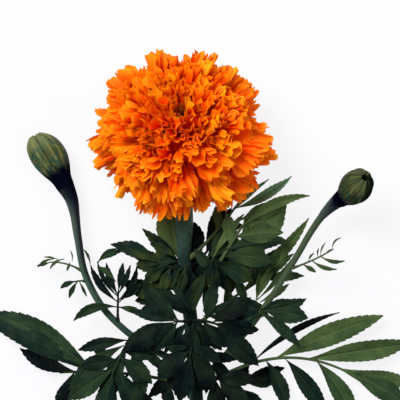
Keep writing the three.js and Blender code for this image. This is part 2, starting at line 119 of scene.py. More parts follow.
# Stems: the points that their middles pass through
STEMS = {
    "main_stem": [
        tuple(CUP_FOOT - GAP * BLOOM_AXIS), tuple(CUP_FOOT - NECK_LENGTH * BLOOM_AXIS),
        (-7.9, 28, 6.4), (-7.2, 16, 6.8), (-7, 0, 7.6), (-6.6, -14, 8.2), (-4.2, -34, 8.6),
        (-2.6, -56, 8.2), (-1.6, -72, 7.4), (-1.2, -85.5, 6.6),
    ],
    "bud_stalk_left": [
        (-3.4, -56.5, 9), (-13, -51.5, 11.5), (-27, -43.5, 12), (-37, -35.5, 11.5),
        (-45, -26.2, 11), (-51.6, -12.5, 10.5), (-54.4, 2, 9.8), (-56, 13.4, 9.2),
        (-57.6, 20.4, 8.8), (-60.6, 26.4, 8.6),
    ],
    "bud_stalk_right": [
        (-2.2, -63, 8.6), (5, -56.5, 11), (13.4, -47.4, 13.6), (23.4, -35.6, 14.6),
        (31.2, -24.6, 15.2), (37.1, -15.2, 15.6), (43.1, -5.4, 15.8), (48.8, 4.4, 15.6),
        (55.1, 13.3, 15.4), (60.2, 18.2, 17), (62.7, 20.1, 21.5),
    ],
}
# Shares of each stem's length, and its radii there
STEM_RADII = {
    "main_stem": (
        (0, 0.05, 0.2, 0.38, 0.43, 0.49, 0.7, 1), (3.6, 3.5, 3.8, 3.9, 3.5, 3.1, 3.05, 3)
    ),
    "bud_stalk_left": (
        (0, 0.06, 0.3, 0.6, 0.72, 0.83, 0.92, 1), (2.6, 1.6, 1.4, 1.55, 1.85, 2.55, 3.25, 4.15)
    ),
    "bud_stalk_right": (
        (0, 0.06, 0.3, 0.72, 0.8, 0.88, 0.95, 1), (2.4, 1.5, 1.3, 1.4, 1.9, 2.75, 3.4, 3.8)
    ),
}
# How strongly each stem is grey towards its end, a waxy grey that is partly painted sheen, olive
# before it, dark along its right side as painted shade, and dark at its end, partly painted shade,
# and how dark its first and second part are, with the shares between the two
STEM_TINTS = {
    "main_stem": (0.0, 0.0, 0.0, 0.0, (0.0, 0.72, 0.4, 0.5)),
    "bud_stalk_left": (0.85, 0.2, 0.9, 0.86, (0.5, 0.0, 0.34, 0.5)),
    "bud_stalk_right": (0.85, 0.85, 0.35, 0.8, (0.0, 0.0, 0.0, 1.0)),
}

# Leaflets: points across one, and along a tooth with its rise at each, and the height under which
# points are pressed towards the floor
LEAFLET_COLUMNS = np.array([-1, -0.74, -0.42, -0.1, 0, 0.1, 0.42, 0.74, 1])
TOOTH_STEPS = np.array([0, 0.45, 0.84])
TOOTH_RISE = np.array([0, 0.7, 1])
LEAF_PRESS_HEIGHT = 1.2
# Leaves: tone from 0, blue-black, through 1, light olive green, to 1.6, pale green. Low tones are
# painted shade on leaves that lie in shade in the middle and under the stems, and tones over 1
# are painted light on leaflets in the bloom's shadow. How far olive patches show. The rib, and the
# place on it, tip, width, bow, arch and tone of each leaflet. Under "more" the base, tip, width,
# tone and bow of those that fill the dense middle. A leaf grows from the main stem unless it says
# otherwise. "slim" is how thick its rib is from the middle outwards
LEAVES = {
    # The two long leaves that reach out to the sides and rest on the surface with a tip.
    "leaf_left_long": {
        "tone": 0.36, "rib": [[-2, -64.5, 8], [-30, -56, 4.4], [-63, -58, 4.2]],
        "single": [
            [0.76, [-96.4, -30.6, 0.4], 12, 0.05, 0.05], [0.8, [-95.6, -35, 2.2], 9.4, 0.03, 0.05],
            [0.88, [-81, -47.2, 1.4], 7, -0.06, 0.05, 0.06], [0.6, [-48, -44.6, 5], 6],
            [0.9, [-65, -75, 2], 7.4, -0.03, 0.05, 0.1], [0.5, [-47, -72, 1.6], 7, 0.05],
        ],
    },
    "leaf_right_long": {
        "tone": 0.62, "rib": [[-1.6, -66.5, 7.6], [34, -40.5, 8.4], [67.5, -58.5, 6]],
        "single": [
            [0.35, [62.4, -31, 6.6], 3.2, -0.07, 0.02, 0.1],
            [0.5, [82, -32.4, 5.6], 10.4, -0.022, 0.03], [0.7, [96.4, -44.6, 2.4], 9.6, 0, 0.04],
            [0.92, [96.5, -62, 0.4], 8.4, 0.05, 0.05], [0.97, [95, -75, 2], 9.5, -0.05, 0.04, 0.6],
            [0.77, [70, -82, 2], 8.6, -0.06, 0.04, 0.5],
            [0.56, [56.4, -78, 2.2], 7.8, -0.05, 0.04, 0.3],
            [0.44, [39, -75, 2.4], 7, -0.06, 0.04, 0.17],
        ],
    },
    # Low leaves, under the stems.
    "leaf_down_right": {
        "tone": 0.14, "rib": [[-1.2, -74, 6.6], [9, -67, 3.2], [21, -62.6, 2.6]],
        "single": [
            [0.97, [35, -61, 1.4], 6.4], [0.86, [38, -56, 1.6], 6.4, -0.03, 0.05, 0.06],
            [0.8, [30, -75.6, 1.4], 6.4], [0.6, [18.4, -79, 1.4], 6], [0.66, [22, -54.6, 1.6], 6],
        ],
        "more": [
            [[-1.8, -57.8, 5], [-5.4, -69.6, 2.6], 5],
        ],
    },
    "leaf_down_left": {
        "tone": 0.2, "rib": [[-1.4, -76, 6.4], [-11, -74, 3.2], [-22, -74.6, 2.6]],
        "single": [
            [0.97, [-38, -77, 1.4], 7], [0.8, [-31, -66.6, 1.4], 6.4, -0.03],
            [0.7, [-24, -85, 1.4], 6, 0.03], [0.5, [-16, -63, 1.8], 6, -0.03],
        ],
        "more": [
            [[-12.6, -57.8, 5], [-23, -69.2, 2.6], 5.4],
        ],
    },
    "leaf_mid_right": {
        "tone": 0.52, "olive": 0.4, "rib": [[-3, -38, 8], [10, -27, 3.6], [28, -16, 5.4]],
        "single": [
            [0.66, [48.6, 11.3, 11.4], 6, 0.03, 0.03, 0.74],
            [0.9, [42, -4.6, 8.4], 4.8, -0.02, 0.07, 0.6], [0.97, [46.6, -14.6, 7.4], 4.8, -0.04],
            [0.5, [15.4, -3.4, 4.4], 7.4, 0.03, 0.03], [0.6, [31, -33, 4.4], 6.4, -0.03, 0.03, 0.2],
            [0.4, [15.4, -38.4, 4], 6.4, -0.03, 0.03],
        ],
        "more": [
            [[11.6, -18.2, 9], [16.6, -33, 6.6], 5.6], [[16, -12.8, 9], [21, -25.8, 6.6], 4.6],
            [[9.8, -14.2, 9], [27.8, -8.4, 8.6], 5], [[25, -25.3, 10], [28.1, -10.6, 9], 3.4, 0.6],
            [[25, -25.3, 10], [33.9, -8.3, 9], 3.8, 0.65],
            [[25.4, -25.3, 10], [40.6, -7.4, 9.5], 2.4, 0.6],
            [[26.8, -26.2, 10], [39.7, -18.2, 9], 3.4, 0.6],
            [[17.9, -18.6, 8], [38, -0.7, 9], 5.6, 0.6],
        ],
    },
    "leaf_behind_right": {
        "tone": 0.12, "rib": [[-6.2, -12, 7.6], [1, -7, 4.4], [3.6, -3, 4]],
        "single": [
            [0.96, [10.4, 18.5, 4.6], 9, 0.03], [0.5, [-2.6, 9.4, 3.4], 7.6, 0, 0.07, 0.04],
        ],
        "more": [
            [[-8, -12, 3.2], [7, -8.6, 4], 8, 0.1], [[-8, -15, 3.2], [6, -17.6, 4], 7.4, 0.14],
            [[2.6, -4.8, 8], [14.2, 15.8, 10.6], 7.6], [[1.8, -9.2, 12], [16.1, 8.6, 10], 9, 0.3],
            [[1.3, -10.1, 10], [17, -6.4, 9], 7, 0.2], [[-4.6, -12.4, 3], [-2.2, 1.4, 3], 6.4, 0.05, 0],
        ],
    },
    "leaf_behind_left": {
        "tone": 0.95, "olive": 0.6, "rib": [[-7, -14, 7.6], [-9.5, -12, 2.6], [-9.4, -7, 1.6]],
        "single": [
            [0.96, [-13.8, 18.2, 1.4], 14, -0.03, 0.015], [0.9, [-25.8, 6.4, 3.4], 5, 0, 0.12, 0.2],
        ],
        "more": [
            [[-6, -13.5, 3], [-20, -10, 3.4], 7, 0.16], [[-6, -17, 3], [-17, -20, 3.4], 6, 0.16],
            [[-7.6, -10, 3], [-20, -3, 3.4], 4.4, 0.3, 0],
        ],
    },
    # Leaves at the height of the stems and over them.
    "leaf_upper_right": {
        "tone": 0.7, "olive": 0.0, "rib": [[-6.4, -8, 8.2], [5, 1, 11.4], [16, 16.5, 11.4]],
        "single": [
            # These two leaflets get tones over 1: painted light that lifts them out of the bloom's
            # shadow
            [0.97, [40.8, 30, 12.4], 4.6, 0.06, 0.07, 1.5],
            [0.86, [30.6, 28.6, 13.6], 2.6, -0.05, 0.07, 1.3],
        ],
        "more": [
            [[-4.4, -8.4, 14.2], [-11.6, -19.6, 13.2], 5.8, 0.2, -0.05],
            [[-4.4, -10.8, 14], [-1.8, -22.2, 11], 4.6, 0.15],
            [[-0.8, -10, 14], [3.2, -19.8, 11], 3, 0.15],
            [[1.8, -8.2, 14], [18.2, -15.8, 11.4], 5.6, 0.25],
            [[8, 6.2, 11], [19.5, 7.8, 10.2], 4.6, 0.7, -0.05],
            [[7.1, 5.1, 10.9], [7, 16.7, 10.2], 4.6, 0.7, 0.05],
        ],
    },
    "leaf_right_broad": {
        "tone": 0.7, "olive": 0.5, "slim": 1, "rib": [[-4.6, -31, 8.6], [3.4, -16, 24], [19, 8.4, 21]],
        "single": [
            [0.97, [48.6, 21.2, 19.2], 4.8, -0.1], [0.88, [36.8, 5, 18.6], 9, -0.04],
            [0.7, [32.6, -8.6, 17.6], 9, -0.06, 0.07, 0.4],
            [0.6, [23.4, -17, 17], 7.6, -0.05, 0.07, 0.3], [0.8, [11.4, 13.6, 19.6], 6, 0.05],
            [0.5, [-2.6, -2.4, 19.4], 5, 0.05, 0.07, 0.3],
        ],
        "more": [
            [[17.5, 10.4, 20.4], [37.8, 16.4, 18], 7, 0.8, -0.06],
            [[14.2, 5.2, 20], [17.8, -9, 14.6], 6], [[20.4, 9.6, 20], [28, -6.8, 14.6], 7.4],
            [[11.6, -1, 18], [22.6, -13.2, 13.6], 6], [[8.8, -8.2, 17], [21.8, -10.4, 13.6], 4.6],
            [[5.7, -6.3, 22], [16, -14.8, 17], 5, 0.25], [[11, -2.7, 22], [39.1, 1.2, 16.5], 7.5, 0.35],
            [[17.7, 1.2, 20], [27.5, 17.6, 16.5], 8.5, 0.8],
            [[22.1, 0.3, 20], [38.2, 17.6, 16], 9, 0.85],
            [[5.7, -5.8, 21.5], [19.5, 13.1, 18.5], 3.6, 0.8], [[4.9, -5.4, 20], [12, 6, 16], 5, 0.5],
            [[5.8, -6.2, 23], [1.4, -20.4, 19.5], 5.6, 0.14],
            [[6.4, -7, 23], [5.6, -22.8, 19], 5.6, 0.16],
            [[7.1, -7.2, 19.5], [11.1, -20.7, 14], 5, 0.2],
            [[9.7, -5.4, 21], [27.5, -11.7, 16], 6.5, 0.3],
            [[3.5, -10.7, 22.5], [-4.4, -29.4, 18], 6, 0.14],
            [[5.3, -6.3, 19], [16.9, 3.8, 16], 6, 0.45], [[3.5, -5.9, 18.5], [10.2, 2, 15], 4.6, 0.2],
        ],
    },
    "leaf_upper_left": {
        "tone": 0.24, "olive": 0.9,
        "rib": [[-6.6, -13, 8.4], [-11.5, -10.6, 16.4], [-18.5, -8.6, 17.4]],
        "single": [
            [0.97, [-39.6, -0.4, 15], 7, 0.07], [0.9, [-28.4, -10.6, 14.2], 7, 0.06],
            [0.7, [-24.6, -17.6, 14.6], 5.6, 0.06], [0.55, [-16.4, -21.6, 14.6], 5, 0.06],
            [0.7, [-19.4, -1.4, 15.4], 4.4],
        ],
        "more": [
            [[-11.8, -7.6, 15.4], [-3.6, -19, 13.2], 6.5, 0.3, 0.05],
            [[-9.8, -8.2, 17], [-28.4, -9.2, 13.6], 6.5],
            [[-8.8, -10.8, 17], [-15.6, -21.2, 12.6], 3.6], [[-6.2, -10, 18], [-9.8, -21.6, 13.6], 4.6],
            [[-10.6, -6, 17], [-22.2, 0.2, 14.6], 4.6],
            [[-12.4, -8.2, 15], [-31.2, -3.8, 12.5], 6.5, 0.2],
            [[-10.7, -10.9, 14], [-18.7, -20.8, 11], 6, 0.15],
            [[-9.8, -8.2, 15], [-22.3, -15.8, 12], 6, 0.15],
        ],
    },
    "leaf_mid_left": {
        "tone": 0.2, "olive": 1.0, "rib": [[-5, -29, 8.6], [-9, -26, 12.6], [-14, -25, 12.8]],
        "single": [
            [0.97, [-34.4, -17.6, 10.6], 8.4, 0.03], [0.8, [-21.4, -12.4, 11.6], 6],
            [0.75, [-27.4, -31.6, 11], 7],
        ],
        "more": [
            [[-12.4, -21.6, 12], [-24.2, -17.8, 9.6], 5.6], [[-10.6, -23.4, 12], [-29, -25.8, 8.6], 7],
            [[-14.2, -20.8, 12], [-18.4, -11, 9.6], 4],
        ],
    },
    "leaf_centre_left": {
        "tone": 0.14, "rib": [[-4, -36, 8.8], [-6, -34, 19], [-11, -34.4, 20.6]],
        "single": [
            [0.97, [-34.6, -47.4, 17.4], 10, 0.02], [0.8, [-25.4, -18.4, 16.6], 8.4, -0.03],
            [0.9, [-31, -29.6, 17.6], 5], [0.85, [-19.6, -47.6, 17.6], 7, 0.04],
        ],
        "more": [
            [[-4.4, -30.2, 19], [-21.4, -19.8, 15], 5.5],
            [[-3.6, -29.8, 18], [-12.4, -17.6, 14.4], 3.4],
            [[-10.6, -34.2, 20], [-27.6, -30, 15.6], 5.5], [[-5.4, -34.6, 20], [-15.6, -48.6, 16], 6],
            [[-5.3, -32.1, 18], [-13.3, -23.3, 15], 6, 0.12],
        ],
    },
    "leaf_centre_down": {
        "tone": 0.12, "rib": [[-3.6, -40, 8.8], [-3.4, -42, 22.4], [-4.4, -49, 24]],
        "single": [
            [0.97, [-9.4, -70, 19], 9.4], [0.85, [-19, -59.6, 19.4], 9, 0.03],
            [0.85, [6, -65.6, 18.6], 8.6, -0.03], [0.65, [-16, -45.4, 20.4], 6.6, 0.03],
            [0.65, [9, -52.4, 20.4], 6.4, -0.03],
        ],
        "more": [
            [[-2.2, -35.4, 23], [-4.4, -52.8, 19], 6.5], [[-4.4, -36.4, 22], [-11, -57, 17], 5.4],
            [[-5.4, -44.8, 20], [-19.2, -54.4, 15.4], 5.4], [[-1.8, -47.8, 21], [5.8, -57.4, 16.6], 5],
            [[-3.2, -51.6, 18], [0.4, -66.6, 12.6], 5], [[-7, -52.4, 18], [-14.6, -66.6, 12.6], 5.4],
        ],
    },
    "leaf_centre_right": {
        "tone": 0.15, "rib": [[-4, -34.6, 9], [1, -33.4, 20], [7.6, -35.6, 21.6]],
        "single": [
            [0.97, [26, -54.4, 16.4], 9.6], [0.9, [26, -38, 17.6], 7.6, 0.02],
            [0.8, [22.6, -23.6, 18.6], 8, 0.04], [0.6, [6.6, -16.6, 19.6], 6.4],
        ],
        "more": [
            [[1.4, -30.2, 20], [3.2, -18, 16.6], 4], [[1.4, -32, 20], [22.2, -34.8, 16.6], 5],
            [[1.8, -30.6, 20], [17.8, -25.4, 17.4], 5], [[0.8, -33.8, 21], [14.6, -45.4, 17.6], 7.4],
            [[-0.4, -34.6, 22], [1.8, -49.4, 18.4], 6], [[-1.8, -34.6, 20], [9.8, -47.3, 16], 7, 0.15],
        ],
    },
    "leaf_centre_low": {
        "tone": 0.14, "rib": [[-2.6, -55, 8.8], [2, -57, 16.4], [8, -60, 17]],
        "single": [
            [0.97, [21.6, -71.6, 14.6], 8.8], [0.85, [7.4, -78, 13.4], 8.4, -0.02],
            [0.85, [25, -59.6, 17], 7.4, 0.03],
        ],
        "more": [
            [[1.8, -48.2, 16], [16.4, -51.4, 14], 4.6], [[4.4, -50, 15], [13, -63.6, 10.6], 6],
            [[2.6, -51.8, 14], [2.6, -67.2, 9.6], 4.4],
        ],
    },
    # Leaves on the bud stalks.
    "leaf_left_down": {
        "tone": 0.26, "stem": "bud_stalk_left",
        "rib": [[-30, -41.5, 12], [-35, -48, 17], [-39, -58, 15.4]],
        "single": [
            [0.97, [-45, -84, 9], 10.4], [0.86, [-59, -70, 10.4], 9.4, 0.03],
            [0.86, [-26.6, -77.6, 10.6], 9.4, -0.03], [0.66, [-53, -54.6, 13], 7.6, 0.03],
            [0.6, [-21.4, -62.6, 13], 8.4, -0.03], [0.45, [-20, -50.4, 14.6], 6, -0.03],
        ],
        "more": [
            [[-28, -44.2, 15], [-13.8, -57.4, 11.6], 4.6], [[-30.6, -45, 15], [-25.4, -69, 9.6], 7.6],
            [[-32.4, -45, 15], [-45.6, -69, 9.6], 8], [[-33.8, -45.2, 14], [-58.6, -65.6, 8.6], 7.6],
            [[-32, -43, 14], [-54.4, -47.6, 10.6], 5.6], [[-26.6, -42, 14], [-17.4, -45.8, 11.6], 4.2],
        ],
    },
    "leaf_left_small": {
        "tone": 0.12, "stem": "bud_stalk_left", "slim": 0.65,
        "rib": [[-36.6, -35.9, 11.4], [-36.6, -28, 17], [-36.2, -21, 17.4]],
        "single": [
            [0.97, [-34.2, -8.6, 16.6], 3.2], [0.9, [-31, -9.6, 15], 2.6, 0.04],
            [0.86, [-41.6, -8.6, 16], 3.2, -0.05], [0.82, [-45.6, -8, 13.8], 2.2, -0.08],
            [0.66, [-48.6, -9.6, 14.6], 3.4, -0.08], [0.62, [-28, -9.8, 15.4], 3, 0.1],
            [0.5, [-25.8, -31, 15.4], 3.2, -0.05, 0.07, 0.4],
            [0.5, [-56.2, -34.4, 12.6], 4.4, 0.14, 0.12, 0.42],
        ],
        "more": [
            [[-45.6, -8.6, 13.8], [-34.7, -3.6, 13], 3.8, 0.4, -0.14],
            [[-37.4, -17, 17.6], [-45.6, -10.4, 16.6], 2.8, 0.36, 0.1],
            [[-48.8, -9.4, 14], [-51.6, -2.8, 12.6], 1.3, 0.45, 0.08],
            [[-36.4, -25.1, 15], [-26.3, -17.6, 13.5], 4, 0.3],
        ],
    },
    "leaf_right_side": {
        "tone": 0.42, "stem": "bud_stalk_right",
        "rib": [[24.6, -34, 14.8], [24.8, -31, 19.8], [27, -29, 20.2]],
        "single": [
            [0.9, [47.2, -24.4, 18.6], 5.8, 0.05, 0.07, 0.3], [0.97, [48, -33, 18.6], 9, -0.03],
            [0.8, [44.4, -46, 17.6], 5.2, -0.04], [0.8, [39.6, -24.6, 19.2], 4.4],
            [0.9, [14.6, -24.6, 19], 6.6, 0.04, 0.05, 0.2],
            [0.8, [16.6, -34.4, 19], 6.4, -0.04, 0.05, 0.16],
            [0.7, [20.8, -37.4, 19], 4.2, 0.03, 0.05, 0.36],
        ],
    },
    # Feathery little leaves high on the bud stalks.
    "bract_left_upper": {
        "tone": 0.5, "stem": "bud_stalk_left", "slim": 0.5,
        "rib": [[-51.3, -13.4, 10.5], [-58, -8, 11.6], [-67, -8.4, 10.8]],
        "single": [[0.97, [-72.6, -10, 10], 1.6]],
        "more": [
            [[-57.1, -8.3, 11], [-57.8, -3.2, 10.5], 0.7, 0.6, 0.1],
            [[-60.6, -7, 11], [-66.9, -11.4, 10], 1.5, 0.6, 0.14],
            [[-65.1, -7, 10.8], [-72.3, -10.6, 9.8], 1.4, 0.6, 0.12],
            [[-63.3, -7, 11], [-69.6, -6.1, 10], 1, 0.6],
            [[-58, -8.3, 11], [-59.4, -12.3, 10], 1.3, 0.55],
        ],
    },
    "bract_left_lower": {
        "tone": 0.4, "stem": "bud_stalk_left", "slim": 0.5,
        "rib": [[-49.6, -17.4, 10.8], [-52.8, -16.2, 11.2], [-55.6, -17, 10.8]],
        "single": [
            [0.9, [-62.2, -20, 9.8], 2.6, 0.08], [0.8, [-58.4, -24.4, 9.6], 2.4, 0.05],
            [0.7, [-50.6, -23.6, 9.6], 1.4],
        ],
    },
    "bract_right": {
        "tone": 0.55, "stem": "bud_stalk_right", "slim": 0.5,
        "rib": [[39.4, -11.4, 15.8], [50, -8, 19], [59, -2.4, 19]],
        "single": [
            [0.97, [62.6, 2.6, 18.4], 0.9, -0.2], [0.7, [64, -7.6, 18], 1.9, 0.12],
            [0.5, [60.6, -11.4, 18], 2, 0.1], [0.3, [51.4, -12.6, 17.6], 2.2],
            [0.7, [55.8, 0.6, 18.6], 0.8, -0.12],
        ],
        "more": [
            [[55.4, -4.4, 19], [59.4, -2.6, 18.4], 0.8, 0.55, -0.1],
            [[48, -7.8, 18.6], [50.6, -4.2, 17.6], 1.1, 0.55, -0.1],
            [[52.3, -5.8, 18.8], [52.6, -2, 18], 0.8, 0.55, -0.1],
        ],
    },
}


def unit(vectors):
    """Vectors made one long, row by row."""
    return vectors / np.linalg.norm(vectors, axis=-1, keepdims=True)


def ease(value, start, end):
    """Rises smoothly from 0 at start to 1 at end."""
    share = np.clip((value - start) / (end - start), 0, 1)
    return share * share * (3 - 2 * share)


def blend(low, high, share):
    """The value that lies at that share of the way from low to high."""
    return low + (high - low) * share


def settle(points, height):
    """Points lower than height are pressed towards the floor and never pass it."""
    settled = points.copy()
    z = points[..., 2]
    settled[..., 2] = np.where(z < height, height * np.exp((z - height) / height), z)
    return settled


# Curves
class SmoothCurve:
    """A smooth curve through points, with even knots in the square root of their distance."""

    def __init__(self, points):
        inner = np.array(points, float)
        first = 2 * inner[0] - inner[1]
        last = 2 * inner[-1] - inner[-2]
        self.points = np.vstack([first, inner, last])
        self.spans = len(inner) - 1

    def at(self, shares):
        place = np.clip(np.asarray(shares, float), 0, 1) * self.spans
        span = np.minimum(place.astype(int), self.spans - 1)
        w = (place - span)[:, None]
        p0, p1, p2, p3 = (self.points[span + k] for k in range(4))
        k0, k1, k2 = (
            np.linalg.norm(b - a, axis=1, keepdims=True) ** 0.5
            for a, b in ((p0, p1), (p1, p2), (p2, p3))
        )
        leave = ((p1 - p0) / k0 - (p2 - p0) / (k0 + k1) + (p2 - p1) / k1) * k1
        arrive = ((p2 - p1) / k1 - (p3 - p1) / (k1 + k2) + (p3 - p2) / k2) * k1
        square = -3 * p1 + 3 * p2 - 2 * leave - arrive
        cube = 2 * p1 - 2 * p2 + leave + arrive
        return p1 + leave * w + square * w**2 + cube * w**3


class BentCurve:
    """A curve from the first point to the third, drawn towards the second."""

    def __init__(self, points):
        self.points = np.array(points, float)

    def at(self, shares):
        w = np.asarray(shares, float)[:, None]
        a, b, c = self.points
        return (1 - w) ** 2 * a + 2 * w * (1 - w) * b + w**2 * c


def frames_along(curve, shares):
    """Points, tangents, rights and normals of a curve, with normals as upright as they can be."""
    shares = np.asarray(shares, float)
    step = 1e-3
    before = curve.at(np.maximum(shares - step, 0))
    after = curve.at(np.minimum(shares + step, 1))
    tangents = unit(after - before)
    rights = unit(np.cross(tangents, UP))
    normals = unit(np.cross(rights, tangents))
    return curve.at(shares), tangents, rights, normals


# Rings of points
def turns_of(sides):
    """The directions of a ring's points, in radians."""
    return TAU * np.arange(sides) / sides


def rings_round(points, rights, normals, radii, turns):
    """Rings round the points of a line."""
    across = (radii * np.cos(turns))[..., None] * rights[:, None]
    upwards = (radii * np.sin(turns))[..., None] * normals[:, None]
    return points[:, None] + across + upwards


def upright_rings(heights, radii, turns):
    """Rings round +Z."""
    x, y = radii * np.cos(turns), radii * np.sin(turns)
    return np.stack([x, y, np.broadcast_to(heights, x.shape)], -1)


# Meshes
def squares(grid):
    """Four-cornered faces of a grid of point numbers."""
    return np.stack([grid[:-1, :-1], grid[:-1, 1:], grid[1:, 1:], grid[1:, :-1]], -1).reshape(-1, 4)


def laid_out(values, shape, extra):
    """Values for each point of a grid, then for the points that extra takes from it."""
    laid = {}
    for name, value in values.items():
        grid = np.broadcast_to(value, shape)
        laid[name] = np.concatenate([grid.reshape(-1), extra(grid).reshape(-1)])
    return laid


def blade(top, bottom, values):
    """A closed thin blade: two grids of points that share their border."""
    rows, columns = top.shape[:2]
    upper = np.arange(rows * columns).reshape(rows, columns)
    lower = upper.copy()
    inner = (rows - 2) * (columns - 2)
    lower[1:-1, 1:-1] = rows * columns + np.arange(inner).reshape(rows - 2, columns - 2)
    points = np.concatenate([top.reshape(-1, 3), bottom[1:-1, 1:-1].reshape(-1, 3)])
    faces = squares(upper).tolist() + squares(lower)[:, ::-1].tolist()
    return points, faces, laid_out(values, (rows, columns), lambda grid: grid[1:-1, 1:-1])


def tube(rings, values):
    """A closed skin through rings of points, with a middle point at each end."""
    count, sides = rings.shape[:2]
    grid = np.arange(count * sides).reshape(count, sides)
    wrapped = np.concatenate([grid, grid[:, :1]], axis=1)
    faces = squares(wrapped).tolist()
    first, last = count * sides, count * sides + 1
    for k in range(sides):
        following = (k + 1) % sides
        faces.append([first, int(grid[0, following]), int(grid[0, k])])
        faces.append([last, int(grid[-1, k]), int(grid[-1, following])])
    points = np.concatenate([rings.reshape(-1, 3), rings[[0, -1]].mean(axis=1)])
    return points, faces, laid_out(values, (count, sides), lambda grid: grid[[0, -1]].mean(axis=1))


class Skin:
    """Points in millimetres, faces and values of one piece, gathered part by part."""

    def __init__(self, *parts):
        self.points = []
        self.faces = []
        self.values = {}
        self.count = 0
        for part in parts:
            self.add(*part)

    def add(self, points, faces, values):
        """Adds a closed part, with its faces turned outwards."""
        corners = np.array([
            points[[face[0], face[k], face[k + 1]]] for face in faces for k in (1, len(face) - 2)
        ])
        # A triangle comes twice here, so it counts half
        weights = np.array([0.5 if len(face) == 3 else 1.0 for face in faces for _ in (0, 1)])
        volumes = np.einsum("ij,ij->i", corners[:, 0], np.cross(corners[:, 1], corners[:, 2]))
        if (volumes * weights).sum() < 0:
            faces = [face[::-1] for face in faces]
        self.points.append(points)
        self.faces += [[int(corner) + self.count for corner in face] for face in faces]
        for name, value in values.items():
            self.values.setdefault(name, []).append(np.broadcast_to(value, len(points)))
        self.count += len(points)

    def mesh(self, name, sharp_angle=70):
        """The mesh in metres, smooth but for its edges sharper than sharp_angle."""
        mesh = bpy.data.meshes.new(name)
        points = np.concatenate(self.points) * MM
        mesh.from_pydata(points.tolist(), [], self.faces)
        mesh.update()
        for label, parts in self.values.items():
            layer = mesh.attributes.new(label, "FLOAT", "POINT")
            layer.data.foreach_set("value", np.concatenate(parts).astype(np.float32))
        return smoothed(mesh, sharp_angle)


def smoothed(mesh, sharp_angle):
    """A mesh shaded smooth but for its edges sharper than sharp_angle in degrees."""
    mesh.shade_smooth()
    mesh.set_sharp_from_angle(angle=math.radians(sharp_angle))
    return mesh


def show(name, data):
    """A new object of that data in the scene."""
    made = bpy.data.objects.new(name, data)
    bpy.context.scene.collection.objects.link(made)
    return made


def place_piece(name, mesh, replaced, surface=None):
    """Shows a mesh with its finish as the piece that stands for a solid of the frame."""
    if surface:
        mesh.materials.append(surface)
    piece = show(name, mesh)
    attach(piece, "root")
    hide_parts(replaced)


# Node trees
class Output:
    """What a node gives. Reckoning with it, as with a number, adds nodes to its tree."""

    def __init__(self, tree, socket):
        self.tree = tree
        self.socket = socket

    def __add__(self, other):
        return self.tree.math("ADD", self, other)

    def __sub__(self, other):
        return self.tree.math("SUBTRACT", self, other)

    def __rsub__(self, other):
        return self.tree.math("SUBTRACT", other, self)

    def __mul__(self, other):
        return self.tree.math("MULTIPLY", self, other)

    def __truediv__(self, other):
        return self.tree.math("DIVIDE", self, other)

    def __pow__(self, other):
        return self.tree.math("POWER", self, other)

    def __abs__(self):
        return self.tree.math("ABSOLUTE", self)

    __radd__ = __add__

    def ramp(self, start, end, low=0.0, high=1.0):
        """Goes smoothly from low to high while this goes from start to end."""
        feeds = {"Value": self, "From Min": start, "From Max": end, "To Min": low, "To Max": high}
        return self.tree.out("ShaderNodeMapRange", feeds, interpolation_type="SMOOTHSTEP")


class Tree:
    """A node tree that is written as calls: each adds a node and joins what feeds it."""

    def __init__(self, tree):
        self.tree = tree

    def node(self, kind, feeds=(), **settings):
        node = self.tree.nodes.new(kind)
        for name, value in settings.items():
            setattr(node, name, value)
        for socket, value in dict(feeds).items():
            self.feed(node.inputs[socket], value)
        return node

    def feed(self, socket, value):
        if isinstance(value, Output):
            self.tree.links.new(value.socket, socket)
        else:
            socket.default_value = value

    def out(self, kind, feeds=(), output=0, **settings):
        """What a new node gives at one of its outputs."""
        return Output(self, self.node(kind, feeds, **settings).outputs[output])

    def math(self, operation, *values, clamp=False):
        feeds = dict(enumerate(values))
        return self.out("ShaderNodeMath", feeds, operation=operation, use_clamp=clamp)

    def combine(self, x, y, z):
        return self.out("ShaderNodeCombineXYZ", {0: x, 1: y, 2: z})

    def draw(self, low, high, seed):
        """A number drawn for each point, even between low and high."""
        # By number, because the node has more than one socket of the same name
        feeds = {2: low, 3: high, 8: seed}
        return self.out("FunctionNodeRandomValue", feeds, 1, data_type="FLOAT")

    def pick(self, last, seed):
        """A whole number drawn for each point, from 0 to last."""
        feeds = {4: 0, 5: last, 8: seed}
        return self.out("FunctionNodeRandomValue", feeds, 2, data_type="INT")

    def place(self):
        """Where a point of the piece is, in metres."""
        return self.out("ShaderNodeTexCoord", output="Object")

    def attributes(self, *names):
        """The values that the mesh has under those names."""
        kind = "ShaderNodeAttribute"
        return [self.out(kind, output="Fac", attribute_name=name) for name in names]

    def noise(self, vector, scale, detail=2.0, roughness=0.5):
        feeds = {"Vector": vector, "Scale": scale, "Detail": detail, "Roughness": roughness}
        return self.out("ShaderNodeTexNoise", feeds, "Fac")

    def painted(self, colour, *layers):
        """A colour under layers of others, each with the share of it that shows."""
        for share, layer in layers:
            under, over = (
                each if isinstance(each, Output) else (*each, 1) for each in (colour, layer)
            )
            colour = self.out("ShaderNodeMix", {0: share, 6: under, 7: over}, 2, data_type="RGBA")
        return colour


def material(name, **shader_values):
    """A new material, its tree, and its shader with values that are the same all over."""
    made = bpy.data.materials.new(name)
    made.use_nodes = True
    shader = made.node_tree.nodes["Principled BSDF"]
    for socket, value in shader_values.items():
        shader.inputs[socket.replace("_", " ")].default_value = value
    return made, Tree(made.node_tree), shader


def finish(tree, shader, colour, roughness, relief, depth):
    """Joins a colour, a roughness and a relief of that depth in metres to the shader."""
    bump = tree.out("ShaderNodeBump", {"Height": relief, "Distance": depth, "Strength": 1.0})
    for name, value in (("Base Color", colour), ("Roughness", roughness), ("Normal", bump)):
        tree.feed(shader.inputs[name], value)


